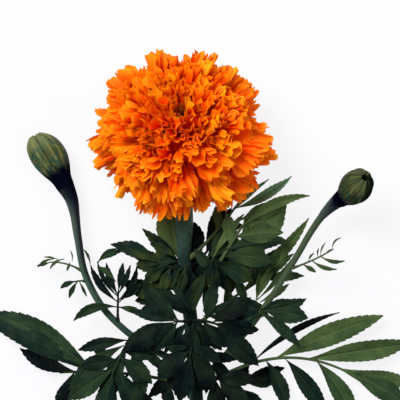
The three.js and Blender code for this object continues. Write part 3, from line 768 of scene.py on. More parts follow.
# Settings
def colour_setting(name, description, red, green, blue):
    """A colour from its screen values, from 0 to 255."""
    screen = np.array([red, green, blue]) / 255
    linear = np.where(screen <= 0.04045, screen / 12.92, ((screen + 0.055) / 1.055) ** 2.4)
    return bpy.props.FloatVectorProperty(
        name=name, description=description, subtype="COLOR", size=3, min=0, max=1,
        default=tuple(linear.tolist()),
    )


def size_setting(name, description, millimetres):
    """A length, given in millimetres."""
    return bpy.props.FloatProperty(
        name=name, description=description, default=millimetres * MM, min=0, unit="LENGTH",
        precision=5,
    )


def power_setting(name, description, watts):
    """The power of a light."""
    return bpy.props.FloatProperty(name=name, description=description, default=watts, unit="POWER")


class MarigoldBloomSettings(bpy.types.PropertyGroup):
    """What a user may change on the bloom."""

    florets: bpy.props.IntProperty(
        name="Florets", description="How many florets the bloom has", default=400, min=50, max=800
    )
    seed: bpy.props.IntProperty(
        name="Seed", description="Which set of draws scatters the florets", default=3, min=0
    )
    lean: bpy.props.FloatProperty(
        name="Lean", description="How far the florets' middle leans up from the cup's axis",
        default=math.radians(4), subtype="ANGLE",
    )
    radius: size_setting("Radius", "From the bloom's middle to the tips", BLOOM_RADIUS)
    tip: colour_setting("Tip", "Colour of the floret tips", 255, 146, 8)
    bright: colour_setting("Bright", "Colour of the lightest florets", 255, 166, 16)
    limb: colour_setting("Limb", "Colour of the florets' broad part", 255, 110, 0)
    throat: colour_setting("Throat", "Colour deep between the florets", 248, 54, 0)
    heart: colour_setting("Heart", "Colour of the closed florets in the middle", 128, 62, 8)


class MarigoldStemSettings(bpy.types.PropertyGroup):
    """What a user may change on the stems."""

    sides: bpy.props.IntProperty(
        name="Sides", description="Faces round a stem", default=24, min=8, max=64
    )
    ridge: size_setting("Ridge", "Height of the shallow ridges along a stem", 0.09)
    colour: colour_setting("Colour", "Colour of the stems", 55, 84, 71)
    light: colour_setting("Light streaks", "Colour of the paler streaks", 66, 90, 70)
    olive: colour_setting("Olive", "Colour of the greener stalk", 60, 74, 47)
    # Partly the waxy stalk's own grey, partly painted sheen that stands in for its gloss
    slate_sheen: colour_setting("Slate", "Colour of the stalk that turns grey", 64, 75, 74)
    # Partly the stalks' own dark colour, partly painted shade under the buds
    neck: colour_setting("Neck", "Colour of the stalks under the buds", 4, 5, 20)


class MarigoldBudSettings(bpy.types.PropertyGroup):
    """What a user may change on the buds and the cup."""

    olive: colour_setting("Olive", "Main colour of the buds", 62, 78, 42)
    stripe: colour_setting("Stripe", "Colour of the pale stripes and tips", 134, 138, 88)
    teal: colour_setting("Teal", "Colour of the bluish patches", 38, 72, 60)
    russet: colour_setting("Russet", "Colour of the reddish-brown flecks", 116, 92, 44)
    # Also the colour of the painted shade on the buds' shaded side and in their mouths
    dark: colour_setting("Dark", "Colour of the furrows", 12, 20, 12)
    # Partly the foot's own dark colour, partly painted shade
    foot: colour_setting("Foot", "Colour of the foot", 4, 5, 20)


class MarigoldLeafSettings(bpy.types.PropertyGroup):
    """What a user may change on the leaves."""

    thickness: size_setting("Thickness", "Thickness of a leaflet", 0.42)
    tooth: size_setting("Tooth", "Distance from one tooth of a leaflet to the next", 2.5)
    wave: size_setting("Wave", "How far the widest leaflets' margins wave", 0.8)
    # Partly painted light that lifts leaflets lying in the bloom's shadow, partly a leaf's paler side
    pale: colour_setting("Pale green", "Colour of leaflets that show their pale side", 112, 158, 118)
    light: colour_setting("Light green", "Colour of the lightest leaves", 82, 102, 58)
    green: colour_setting("Green", "Colour of leaves between light and dark", 42, 62, 38)
    # Dark green and blue-black paint the shade on leaves that lie in shade; dark green also colours the
    # grain and gland dots
    dark: colour_setting("Dark green", "Colour of dark leaves", 13, 30, 25)
    shadow: colour_setting("Blue-black", "Colour of the darkest leaves", 2, 5, 11)
    olive: colour_setting("Olive", "Colour of the yellowish patches", 62, 72, 22)
    rib: colour_setting("Rib", "Colour of ribs and veins", 100, 112, 70)


class MarigoldStageSettings(bpy.types.PropertyGroup):
    """What a user may change on the floor, the light and the camera."""

    height: size_setting("Camera height", "Height of the camera over the floor", 1200)
    view_width: size_setting("View width", "Width of the floor that the camera sees", 180)
    aim: size_setting("Aim", "How far up from the origin the camera is centred", 19.35)
    key: power_setting("Main light", "Power of the light from above left", 30)
    fill: power_setting("Fill light", "Power of the light from the right", 6)
    room: bpy.props.FloatProperty(
        name="Room light", description="Strength of the light from all round", default=0.3, min=0
    )
    floor: colour_setting("Floor", "Colour of the floor", 248, 248, 250)
    glow: bpy.props.FloatProperty(
        name="Floor glow", description="How brightly the floor is lit from below, as a light table",
        default=0.9, min=0,
    )


# Finishes
def floret_finish(bloom):
    """Satin petal, darker towards its throat, with fine streaks along it."""
    made, tree, shader = material(
        "marigold_floret", Subsurface_Weight=0.25, Subsurface_Scale=0.0015,
        Subsurface_Radius=(1.0, 0.25, 0.05), Specular_IOR_Level=0.09,
    )
    along, across, tone, heart = tree.attributes("along", "across", "tone", "heart")
    streaks = tree.noise(tree.combine(across * 9.0, along, tone * 37.0), 1.6, 3.0, 0.6)
    patches = tree.noise(tree.place(), 260.0)
    reach = along + (streaks - 0.5) * 0.16
    by_reach = tree.painted(
        bloom.throat,
        (reach.ramp(0.55, 0.86), bloom.limb),
        (reach.ramp(0.84, 1.04), bloom.tip),
    )
    darker = tree.painted(by_reach, (0.32, bloom.throat))
    lighter = tree.painted(by_reach, (0.2, bloom.tip))
    colour = tree.painted(
        darker,
        ((tone + patches * 0.35).ramp(0.35, 1.15), lighter),
        (tone.ramp(0.84, 0.96, 0.0, 0.6), bloom.bright),
        (streaks.ramp(0.3, 0.75, 0.16, 0.0), bloom.throat),
        (heart, bloom.heart),
    )
    finish(tree, shader, colour, streaks.ramp(0.0, 1.0, 0.52, 0.68), streaks, depth=0.00022)
    return made


def stem_finish(stems):
    """Waxy blue-green stem with paler streaks, dark under the buds, partly as painted shade, with
    painted shade down its right side.
    """
    made, tree, shader = material("marigold_stem")
    round_x, round_y, along, neck = tree.attributes("round_x", "round_y", "along", "neck")
    slate_sheen, olive, shade = tree.attributes("slate_sheen", "olive", "shade")
    streaks = tree.noise(tree.combine(round_x, round_y, along * 0.022), 4.2, 4.0, 0.62)
    mottle = tree.noise(tree.place(), 420.0, 3.0)
    # Painted shade: the dark neck stays lighter on the side the light falls on
    turned = neck * round_x.ramp(-1.0, -0.3, 0.2, 1.0)
    colour = tree.painted(
        stems.colour,
        (streaks.ramp(0.42, 0.72), stems.light),
        (mottle.ramp(0.35, 0.8, 0.0, 0.35), stems.neck),
        # Grey towards the stalk ends, partly painted sheen
        (slate_sheen, stems.slate_sheen),
        (olive, stems.olive),
        # Painted shade down the side of the stalk turned from the light
        (shade * round_x.ramp(-0.8, 0.6), stems.neck),
        (tree.math("MAXIMUM", turned, neck.ramp(0.6, 1.0)), stems.neck),
    )
    tree.feed(shader.inputs["Specular IOR Level"], neck.ramp(0.0, 1.0, 0.07, 0.0))
    relief = streaks + mottle * 0.3
    finish(tree, shader, colour, mottle.ramp(0.2, 0.8, 0.42, 0.62), relief, depth=0.00018)
    return made


def bud_finish(buds):
    """Olive scales with pale stripes, russet flecks and dark furrows, with painted shade on the side
    turned from the light and in the mouth.
    """
    made, tree, shader = material("marigold_bud")
    round_x, round_y, along = tree.attributes("round_x", "round_y", "along")
    rib, shade = tree.attributes("rib", "shade")

    def grain(stretch, scale, detail, roughness=0.5):
        space = tree.combine(round_x, round_y, along * stretch)
        return tree.noise(space, scale, detail, roughness)

    streaks = grain(0.35, 6.5, 4.0, 0.62)
    flecks = grain(1.4, 5.0, 3.0)
    patches = grain(2.6, 2.2, 2.0)
    edge = rib + (streaks - 0.5) * 0.5
    crest = along.ramp(0.6, 0.95, 0.0, 0.5) * edge.ramp(0.2, 0.6)
    # Painted shade, broken by the streaks
    shaded = shade * streaks.ramp(0.34, 0.68, 0.92, 0.6)
    # Darker towards the foot, partly painted shade that reaches higher on the shaded side
    foot = (along + (flecks - 0.5) * 0.4 - shade * 0.12).ramp(0.42, 0.14)
    colour = tree.painted(
        buds.dark,
        (edge.ramp(0.0, 0.32), buds.olive),
        (streaks.ramp(0.46, 0.68, 0.0, 0.66), buds.stripe),
        (flecks.ramp(0.53, 0.7, 0.0, 0.5), buds.russet),
        (patches.ramp(0.47, 0.6, 0.0, 0.75), buds.teal),
        (crest, buds.stripe),
        (shaded, buds.dark),
        (foot, buds.foot),
        # Painted shade inside the mouth of a bud and of the cup
        (along.ramp(1.0, 1.05), buds.dark),
    )
    # No gloss where shade is painted and at the foot
    dull = tree.math("MAXIMUM", foot, shaded)
    tree.feed(shader.inputs["Specular IOR Level"], dull.ramp(0.3, 0.8, 0.06, 0.0))
    relief = streaks + edge * 0.4
    finish(tree, shader, colour, flecks.ramp(0.2, 0.8, 0.4, 0.58), relief, depth=0.00025)
    return made


def leaf_finish(leaves):
    """Leaf green by its tone, which paints shade and light, with a pale midrib, side veins, margins and
    gland dots.
    """
    made, tree, shader = material("marigold_leaf", Specular_IOR_Level=0.03)
    tone, vein, off_rib = tree.attributes("tone", "vein", "off_rib")
    across, along, olive = tree.attributes("across", "along", "olive")
    place = tree.place()
    streaks = tree.noise(tree.combine(across, along, tone * 50.0), 2.4, 3.0)
    patches = tree.noise(place, 130.0, 3.0) + (streaks - 0.5) * 0.9
    grain = tree.noise(place, 1500.0, 3.0, 0.6)
    dots = tree.out("ShaderNodeTexVoronoi", {"Vector": place, "Scale": 900.0}, "Distance")
    side_veins = abs(tree.math("FRACT", vein) - 0.5).ramp(0.42, 0.5)
    midrib = off_rib.ramp(0.42, 0.16)
    shade = tree.math("ADD", tone, (patches - 0.5) * 0.35, clamp=True)
    # Tone paints shade: the low tones stand for leaves that lie in shade
    colour = tree.painted(
        leaves.shadow,
        (shade.ramp(0.0, 0.28), leaves.dark),
        (shade.ramp(0.22, 0.6), leaves.green),
        (shade.ramp(0.5, 0.95), leaves.light),
        # Tones over 1: painted light towards pale green
        (tone.ramp(1.0, 1.6), leaves.pale),
        (olive * tree.noise(place, 85.0).ramp(0.42, 0.64, 0.0, 0.5), leaves.olive),
        (grain.ramp(0.35, 0.7, 0.0, 0.22), leaves.dark),
        (dots.ramp(0.16, 0.05, 0.0, 0.35), leaves.dark),
        (side_veins * (shade * 0.16), leaves.rib),
        (abs(across).ramp(0.9, 1.0) * tone.ramp(0.1, 0.9, 0.0, 0.2), leaves.rib),
        (midrib * tone.ramp(0.1, 0.9, 0.02, 0.42), leaves.rib),
    )
    relief = grain * 0.25 - side_veins * 0.5 - midrib * 0.6
    finish(tree, shader, colour, grain.ramp(0.3, 0.7, 0.46, 0.6), relief, depth=0.00016)
    return made


def floor_finish(stage):
    """Pale matt floor with the faintest unevenness."""
    made, tree, shader = material(
        "pale_floor", Specular_IOR_Level=0.1, Emission_Strength=stage.glow,
        Emission_Color=(*stage.floor, 1),
    )
    cloud = tree.noise(tree.place(), 3.0)
    matt, shade = (tuple(share * value for value in stage.floor) for share in (0.1, 0.09))
    colour = tree.painted(matt, (cloud, shade))
    finish(tree, shader, colour, cloud.ramp(0.0, 1.0, 0.85, 0.95), cloud, depth=0.0)
    return made


# Bloom
def floret_mesh(name, kind, draw):
    """A floret standing on +Z and bending to +Y: a narrow foot, then a ruffled, lobed limb."""
    group = FLORET_GROUPS[kind // KINDS_A_GROUP]
    tilt, half_width, more_lobes, depth, spread, frilly, cut, rolled_kinds = group
    bend = math.radians(tilt + draw.uniform(-16, 16))
    widest = half_width * draw.uniform(0.85, 1.15)
    lobes = int(draw.integers(3, 5)) + more_lobes
    channel = draw.uniform(1.1, 1.6) * depth
    opening = draw.uniform(0.4, 1.5) * spread
    if draw.random() < 0.3:
        opening = -0.7 * opening
    ruffle = draw.uniform(0.9, 2.0) * frilly
    waves = draw.uniform(2.0, 3.6)
    flare = 0.0
    phase = draw.uniform(0, TAU)
    twist = math.radians(draw.uniform(-50, 50))
    sway = draw.uniform(-2.6, 2.6)
    notch = draw.uniform(1.4, 3.6) * cut
    leans = draw.uniform(-1.5, 1.5, lobes)
    if kind % KINDS_A_GROUP < rolled_kinds:
        channel = draw.uniform(1.9, 2.3)
        opening = draw.uniform(2.3, 2.8)
        flare = draw.uniform(0.3, 1.3)
        ruffle, waves = 0.5 * ruffle, 1.4 * waves
        twist, bend, notch = 0.4 * twist, 0.6 * bend, 0.6 * notch
        widest, leans = 1.2 * widest, 0.6 * leans
    columns = [k + part for k in range(lobes) for part in LOBE_COLUMNS] + [lobes]
    across = np.array(columns) / lobes * 2 - 1
    lobe_middles = (np.arange(lobes) + 0.5) / lobes * 2 - 1
    rises = np.array(LOBE_RISE * lobes + (-1,)) * notch * draw.uniform(0.7, 1.3, len(columns))
    ends = draw.uniform(-1.6, 0.6, lobes)
    lobe = rises + np.interp(across, lobe_middles, ends) - 1.2 * across**2
    lean_at = np.interp(across, lobe_middles, leans)
    span = BLOOM_RADIUS - FLORET_FOOT
    top = np.zeros((len(FLORET_ROWS), len(across), 3))
    bottom = top.copy()
    for i, (far, share) in enumerate(zip(FLORET_ROWS, FLORET_HALF_WIDTHS)):
        limb, frill, end = (float(ease(far, *part)) for part in ((0.3, 0.8), (0.5, 1), (0.66, 1)))
        # The slope is that of the middle line below, over its span
        slope = np.array([0, 1.76 * math.sin(bend) * far**3.7, 1 - 0.24 * math.sin(bend) * far])
        tangent = unit(slope)
        face = np.array([0, -tangent[2], tangent[1]])
        middle = np.array([
            sway * math.sin(math.pi * far),
            0.375 * span * math.sin(bend) * far**4.7,
            FLORET_FOOT + span * far * (1 - 0.12 * math.sin(bend) * far),
        ])
        turn = twist * far**2
        side = np.array([math.cos(turn), 0, 0]) + face * math.sin(turn)
        rise = np.array([-math.sin(turn), 0, 0]) + face * math.cos(turn)
        arc = blend(blend(1.7, channel, limb), opening, frill)
        bow = widest * share / arc
        wave = ruffle * np.sin(math.pi * waves * across + phase + 1.4 * far) * frill
        wave = wave + (lean_at - flare + draw.uniform(-0.2, 0.2, len(across))) * end
        shift = bow * np.sin(arc * across) - wave * np.sin(arc * across)
        lift = bow * (1 - np.cos(arc * across)) + wave * np.cos(arc * across)
        half_thickness = blend(0.5, 0.16, limb)
        centre = middle + np.outer(lobe * end, tangent) + np.outer(shift, side)
        top[i] = centre + np.outer(lift + half_thickness, rise)
        bottom[i] = centre + np.outer(lift - half_thickness, rise)
    top[0] = bottom[0] = (top[0] + bottom[0]) / 2
    values = {"along": np.array(FLORET_ROWS)[:, None], "across": across, "heart": 0.0}
    return Skin(blade(top, bottom, values)).mesh(name)


def heart_mesh(name):
    """The closed floret in the bloom's middle: a slim bud-like tube with a pinched tip."""
    heights = np.array([0.3, 0.6, 0.7, 0.76, 0.8, 0.82]) * BLOOM_RADIUS
    radii = np.array([0.5, 0.8, 1.2, 1.4, 1.0, 0.3])
    turns = turns_of(8)
    pinch = 1 + 0.16 * np.cos(4 * turns)
    rings = upright_rings(heights[:, None], np.outer(radii, pinch), turns)
    return Skin(tube(rings, {"along": 0.8, "across": np.cos(turns), "heart": 1.0})).mesh(name)


def core_mesh(name):
    """The rounded head that the florets grow from, flat where it meets the cup."""
    pole = 0.06
    angles = np.linspace(pole, math.pi - pole, 20)[:, None]
    half_heights = np.where(angles < math.pi / 2, CORE_RADIUS, CUP["top"] - 0.4)
    rings = upright_rings(half_heights * np.cos(angles), CORE_RADIUS * np.sin(angles), turns_of(40))
    values = {"along": 0.25, "across": 0.0, "heart": 0.0, "tone": 0.3}
    return Skin(tube(rings, values)).mesh(name)


def spiral_places(tree, given):
    """How far each floret is from the head's top, and its outward and facing directions."""
    seed = given["Seed"]
    index = tree.out("GeometryNodeInputIndex")
    # A power over 1 sets the florets closer together at the head's top
    share = ((index + 0.5) / given["Florets"]) ** 1.25
    last = tree.math("COSINE", given["Last angle"])
    angle = tree.math("ARCCOSINE", 1.0 - (1.0 - last) * share)
    angle = angle + tree.draw(-0.085, 0.085, seed + 1.0)
    turn = index * GOLDEN_ANGLE + tree.draw(-0.24, 0.24, seed + 2.0)
    sine, cosine = tree.math("SINE", angle), tree.math("COSINE", angle)
    turn_x, turn_y = tree.math("SINE", turn), tree.math("COSINE", turn)
    outward = tree.combine(sine * turn_x, sine * turn_y, cosine)
    down = tree.combine(cosine * turn_x, cosine * turn_y, sine * -1.0)
    field = tree.out("ShaderNodeVectorMath", {0: outward, 1: tree.combine(seed * 1.7, 0.0, 0.0)})
    roll_reach = (1.0 - angle.ramp(0.5, 1.3)) * 2.4 + math.radians(40)
    swirl = tree.noise(field, 2.1, 1.0) - 0.5
    roll = tree.draw(-1.0, 1.0, seed + 3.0) * roll_reach + swirl * 4.5
    rolling = tree.out("FunctionNodeAxisAngleToRotation", {0: outward, 1: roll})
    down = tree.out("FunctionNodeRotateVector", {0: down, 1: rolling})
    facing = {0: outward, 1: down}
    facing = tree.out("FunctionNodeAxesToRotation", facing, primary_axis="Z", secondary_axis="Y")
    return angle, outward, field, facing


def floret_size(tree, given, angle, outward, field):
    """How large each floret is: uneven, flatter at the head's top and slim where it is crowded."""
    seed = given["Seed"]
    swell = tree.noise(field, 1.35, 1.0) - 0.5
    uneven = tree.draw(0.85, 1.01, seed + 4.0) + swell * 0.2
    for degrees, amount, spread in HEAD_SWELLS:
        aside = math.radians(degrees)
        sideways = {0: outward, 1: (math.cos(aside), math.sin(aside), 0.0)}
        near = tree.out("ShaderNodeVectorMath", sideways, "Value", operation="DOT_PRODUCT")
        uneven = uneven + near.ramp(math.cos(math.radians(spread)), 1.0, 0.0, amount)
    low = 1.0 - given["Flatness"] * tree.math("COSINE", angle) ** 2.0
    reach = low * uneven * (given["Radius"] / (BLOOM_RADIUS * MM))
    crowding = angle.ramp(0.0, 0.7, 0.62, 1.0)
    width = reach * crowding * tree.draw(0.86, 1.18, seed + 5.0)
    return tree.combine(width, reach, reach)


def pressed(tree, geometry, press):
    """A geometry whose points lower than press are pressed towards the floor."""
    point = tree.out("GeometryNodeInputPosition")
    x, y, z = (tree.out("ShaderNodeSeparateXYZ", {0: point}, axis) for axis in range(3))
    over = z - press
    below = tree.math("MINIMUM", over, 0.0)
    height = press * tree.math("EXPONENT", below / press) + tree.math("MAXIMUM", over, 0.0)
    feeds = {"Geometry": geometry, "Position": tree.combine(x, y, height)}
    return tree.out("GeometryNodeSetPosition", feeds)


def floret_tree():
    """Nodes that set florets in a spiral over a round head and press the lowest ones flat."""
    group = bpy.data.node_groups.new("Floret spiral", "GeometryNodeTree")
    for name, kind in FLORET_INPUTS.items():
        group.interface.new_socket(name=name, in_out="INPUT", socket_type=f"NodeSocket{kind}")
    group.interface.new_socket(name="Geometry", in_out="OUTPUT", socket_type="NodeSocketGeometry")
    tree = Tree(group)
    given = {socket.name: Output(tree, socket) for socket in tree.node("NodeGroupInput").outputs}
    seed = given["Seed"]

    def joined(*parts):
        node = tree.node("GeometryNodeJoinGeometry")
        for part in parts:
            tree.feed(node.inputs[0], part)
        return Output(tree, node.outputs[0])

    def object_mesh(name, as_instance):
        feeds = {0: given[name], 1: as_instance}
        return tree.out("GeometryNodeObjectInfo", feeds, "Geometry")

    angle, outward, field, facing = spiral_places(tree, given)
    stage = angle + tree.draw(-0.3, 0.3, seed + 6.0)
    group_number = tree.math("GREATER_THAN", stage, 0.55) + tree.math("GREATER_THAN", stage, 1.05)
    kind = group_number * float(KINDS_A_GROUP) + tree.pick(KINDS_A_GROUP - 1, seed + 7.0)
    index = tree.out("GeometryNodeInputIndex")
    closed = tree.math("LESS_THAN", index, given["Closed florets"])
    placed = {
        "Points": tree.out("GeometryNodePoints", {0: given["Florets"]}),
        "Rotation": facing,
        "Scale": floret_size(tree, given, angle, outward, field),
    }
    kinds = tree.out("GeometryNodeCollectionInfo", {0: given["Floret kinds"], 1: True, 2: True})
    florets = tree.out("GeometryNodeInstanceOnPoints", {
        **placed, "Selection": 1.0 - closed, "Instance": kinds, "Pick Instance": True,
        "Instance Index": kind,
    })
    hearts = tree.out("GeometryNodeInstanceOnPoints", {
        **placed, "Selection": closed, "Instance": object_mesh("Closed floret", True),
    })
    toned = tree.out("GeometryNodeStoreNamedAttribute", {
        "Geometry": joined(hearts, florets), "Name": "tone",
        "Value": tree.draw(0.0, 1.0, seed + 8.0),
    }, data_type="FLOAT", domain="INSTANCE")
    head = joined(object_mesh("Core", False), toned)
    tilted = tree.out("GeometryNodeTransform", {
        "Geometry": tree.out("GeometryNodeRealizeInstances", {0: head}),
        "Translation": tuple(value * MM for value in BLOOM_CENTRE),
        "Rotation": tree.combine(math.radians(BLOOM_ELEVATION - 90) + given["Lean"], 0.0, 0.0),
    })
    settled = pressed(tree, tilted, given["Press height"])
    feeds = {"Geometry": settled, "Material": given["Material"]}
    tree.node("NodeGroupOutput", {0: tree.out("GeometryNodeSetMaterial", feeds)})
    return group


class MARIGOLD_OT_bloom(bpy.types.Operator):
    """Makes the double bloom: ruffled florets in a spiral over a round head"""

    bl_idname = "marigold.bloom"
    bl_label = "Bloom"

    def execute(self, context):
        bloom = context.scene.marigold_bloom
        draw = np.random.default_rng(FLORET_SHAPES_SEED)
        kinds = bpy.data.collections.new("floret_kinds")
        helpers = []

        def helper(name, mesh):
            made = bpy.data.objects.new(name, mesh)
            helpers.append(made)
            return made

        for kind in range(FLORET_KINDS):
            name = f"floret_kind_{kind:02d}"
            kinds.objects.link(helper(name, floret_mesh(name, kind, draw)))
        given = {
            "Florets": bloom.florets,
            "Closed florets": CLOSED_FLORETS,
            "Last angle": math.radians(BLOOM_LAST_ANGLE),
            "Radius": bloom.radius,
            "Flatness": BLOOM_FLATNESS,
            "Lean": bloom.lean,
            "Press height": PRESS_HEIGHT * MM,
            "Seed": bloom.seed,
            "Floret kinds": kinds,
            "Closed floret": helper("closed_floret", heart_mesh("closed_floret")),
            "Core": helper("bloom_core", core_mesh("bloom_core")),
            "Material": floret_finish(bloom),
        }
        carrier = helper("bloom_carrier", bpy.data.meshes.new("bloom_carrier"))
        context.scene.collection.objects.link(carrier)
        modifier = carrier.modifiers.new("Florets", "NODES")
        modifier.node_group = floret_tree()
        for item in modifier.node_group.interface.items_tree:
            if item.in_out == "INPUT" and item.name in given:
                modifier[item.identifier] = given[item.name]
        depsgraph = context.evaluated_depsgraph_get()
        mesh = bpy.data.meshes.new_from_object(
            carrier.evaluated_get(depsgraph), preserve_all_data_layers=True, depsgraph=depsgraph
        )
        carrier.modifiers.remove(modifier)
        for made in helpers:
            bpy.data.objects.remove(made)
        bpy.data.collections.remove(kinds)
        place_piece("bloom_florets", smoothed(mesh, FLORET_EDGE_ANGLE), "bloom_petals")
        return {"FINISHED"}


# Cup and buds
def scaled_body(profile, ribs, proud, teeth, teeth_from):
    """A ribbed round body on +Z from rows of height and radius, with a toothed, hollow mouth."""
    knots = np.array(profile, float)
    smooth = SmoothCurve(np.column_stack([knots, np.zeros(len(knots))])).at(np.linspace(0, 1, 64))
    turns = turns_of(12 * ribs)
    crest = np.abs(np.cos(ribs * turns / 2)) ** 0.8
    along = smooth[:, 0] / knots[:, 0].max()
    along = np.where(np.arange(len(along)) > along.argmax(), 2 - along, along)[:, None]
    furrow = proud * ease(along, 0.0, 0.2)
    lip = teeth * ease(along, teeth_from, 1.0)
    radii = smooth[:, 1:2] * (1 - furrow + 2 * furrow * crest)
    rings = upright_rings(smooth[:, :1] + lip * np.cos(ribs * turns), radii, turns)
    values = {"rib": crest, "along": along, "round_x": np.cos(turns), "round_y": np.sin(turns)}
    return rings, values


def turned_rings(rings, foot, axis):
    """Rings on +Z turned so that +Z lies along axis, with their foot at a point."""
    turn = np.array(Vector(UP).rotation_difference(Vector(axis)).to_matrix())
    return rings @ turn.T + np.asarray(foot)


def bud_profile(foot, full, length):
    """Rows of height and radius from a bud's foot over its blunt end into its small mouth."""
    radius, mouth = BUD["radius"] * full, BUD["mouth"] * 0.85
    return (
        (-0.3, foot * 0.98),
        (length * 0.12, foot * 1.14),
        (length * 0.28, radius * 0.82),
        (length * 0.48, radius),
        (length * 0.68, radius),
        (length * 0.85, radius * 0.84),
        (length * 0.96, radius * 0.52),
        (length, mouth),
        (length - 0.5, mouth * 0.78),
        (length - 3.0, mouth * 0.6),
    )


class MARIGOLD_OT_cup(bpy.types.Operator):
    """Makes the green cup behind the bloom"""

    bl_idname = "marigold.cup"
    bl_label = "Cup"

    def execute(self, context):
        ribs = CUP["ribs"]
        rings, values = scaled_body(CUP_PROFILE, ribs, proud=0.04, teeth=0.7, teeth_from=0.7)
        skin = Skin(tube(turned_rings(rings, CUP_FOOT, BLOOM_AXIS), values))
        surface = bud_finish(context.scene.marigold_buds)
        name = "bloom_cup_scales"
        place_piece(name, skin.mesh(name), "bloom_cup", surface)
        return {"FINISHED"}


class MARIGOLD_OT_buds(bpy.types.Operator):
    """Makes the two closed, ribbed buds on the ends of their stalks"""

    bl_idname = "marigold.buds"
    bl_label = "Buds"

    def execute(self, context):
        surface = bud_finish(context.scene.marigold_buds)
        shaded_side = unit(np.array([0.8, -0.45, -0.4]))
        for side, form in BUD_FORMS.items():
            ends, tangents, _, _ = frames_along(SmoothCurve(STEMS[f"bud_stalk_{side}"]), [1.0])
            profile = bud_profile(form["foot"], form["full"], form["length"])
            ribs = BUD["ribs"]
            rings, values = scaled_body(profile, ribs, proud=0.035, teeth=0.4, teeth_from=0.85)
            far = np.clip(rings[..., 2:] / form["length"], 0, 1)
            rings = turned_rings(rings, ends[0] + GAP * tangents[0], tangents[0])
            # Painted shade: darker on the side turned from the light, with at least the bud's own share
            # all over
            outward = unit(rings - rings.mean(axis=1, keepdims=True))
            turned_away = np.clip(outward @ shaded_side, 0, 1)
            values["shade"] = blend(form["least_shade"], 1.5, turned_away**1.5)
            skin = Skin(tube(rings + far**2 * np.array(form["bend"]), values))
            name = f"bud_{side}_scales"
            place_piece(name, skin.mesh(name), f"bud_{side}", surface)
        return {"FINISHED"}


# Stems
def stem_radius(shares, radii):
    """Radius along a stem, smooth between the radii at those shares of its length."""
    rows = SmoothCurve(np.column_stack([shares, radii, np.zeros(len(radii))]))
    along = rows.at(np.linspace(0, 1, 200))
    return lambda share: np.interp(share, along[:, 0], along[:, 1])


RADII = {name: stem_radius(*rows) for name, rows in STEM_RADII.items()}


def clear_share(stem_name, branch, radius):
    """The share of a branch at which its blunt end, of that radius, is clear of its stem."""
    shares = np.linspace(0, 1, 401)
    middle = SmoothCurve(STEMS[stem_name]).at(shares)
    edge = RADII[stem_name](shares)
    for share in np.arange(0, 0.6, 0.002):
        here, tangent, _, _ = frames_along(branch, [share])
        gaps = np.linalg.norm(middle - here, axis=1) - edge
        nearest = int(gaps.argmin())
        away = unit(here[0] - middle[nearest])
        reach = radius * math.sqrt(max(0.0, 1 - float(tangent[0] @ away) ** 2))
        if gaps[nearest] > reach + GAP:
            return float(share)
    raise ValueError("a branch never leaves its stem")


def stem_skin(name, sides, ridge):
    """A stem with shallow ridges, flat closed ends, and its values for the finish."""
    is_main = name == "main_stem"
    shares = np.linspace(0, 1, 170)
    points, _, rights, normals = frames_along(SmoothCurve(STEMS[name]), shares)
    turns = turns_of(sides)
    radii = RADII[name](shares)[:, None] + np.cos(6 * turns) * (ridge / MM)
    radii = radii + 0.08 * np.sin(37 * shares)[:, None] * np.cos(turns + 2)
    steps = np.linalg.norm(np.diff(points, axis=0), axis=1)
    slate_sheen, olive, shade, dark_end, (first, second, start, end) = STEM_TINTS[name]
    neck = blend(first, second, ease(shares, start, end))
    # The stalks darken towards the buds, partly their own colour and partly painted shade
    neck = np.maximum(neck, dark_end * ease(shares, 0.71, 0.92))
    if not is_main:
        neck = np.maximum(neck, ease(shares, 0.82, 1.0))
    return Skin(tube(rings_round(points, rights, normals, radii, turns), {
        "along": np.concatenate([[0], np.cumsum(steps)])[:, None],
        "neck": neck[:, None],
        "slate_sheen": slate_sheen * ease(shares, 0.5, 0.7)[:, None],
        "olive": olive * (1 - ease(shares, 0.72, 0.86))[:, None],
        "shade": shade * ease(shares, 0.3, 0.62)[:, None],
        "round_x": -np.cos(turns) if is_main else np.cos(turns),
        "round_y": np.sin(turns),
    }))


class MARIGOLD_OT_stems(bpy.types.Operator):
    """Makes the main stem and the two bud stalks"""

    bl_idname = "marigold.stems"
    bl_label = "Stems"

    def execute(self, context):
        stems = context.scene.marigold_stems
        surface = stem_finish(stems)
        for name in STEMS:
            skin = stem_skin(name, stems.sides, stems.ridge)
            mesh = skin.mesh(f"{name}_skin", sharp_angle=50)
            place_piece(f"{name}_skin", mesh, name, surface)
        return {"FINISHED"}


# Leaves
def fullness(share):
    """Half width of a leaflet along its length, as a share of its widest."""
    return np.sin(math.pi * share**1.14) ** (1.1 - 0.14 * share)


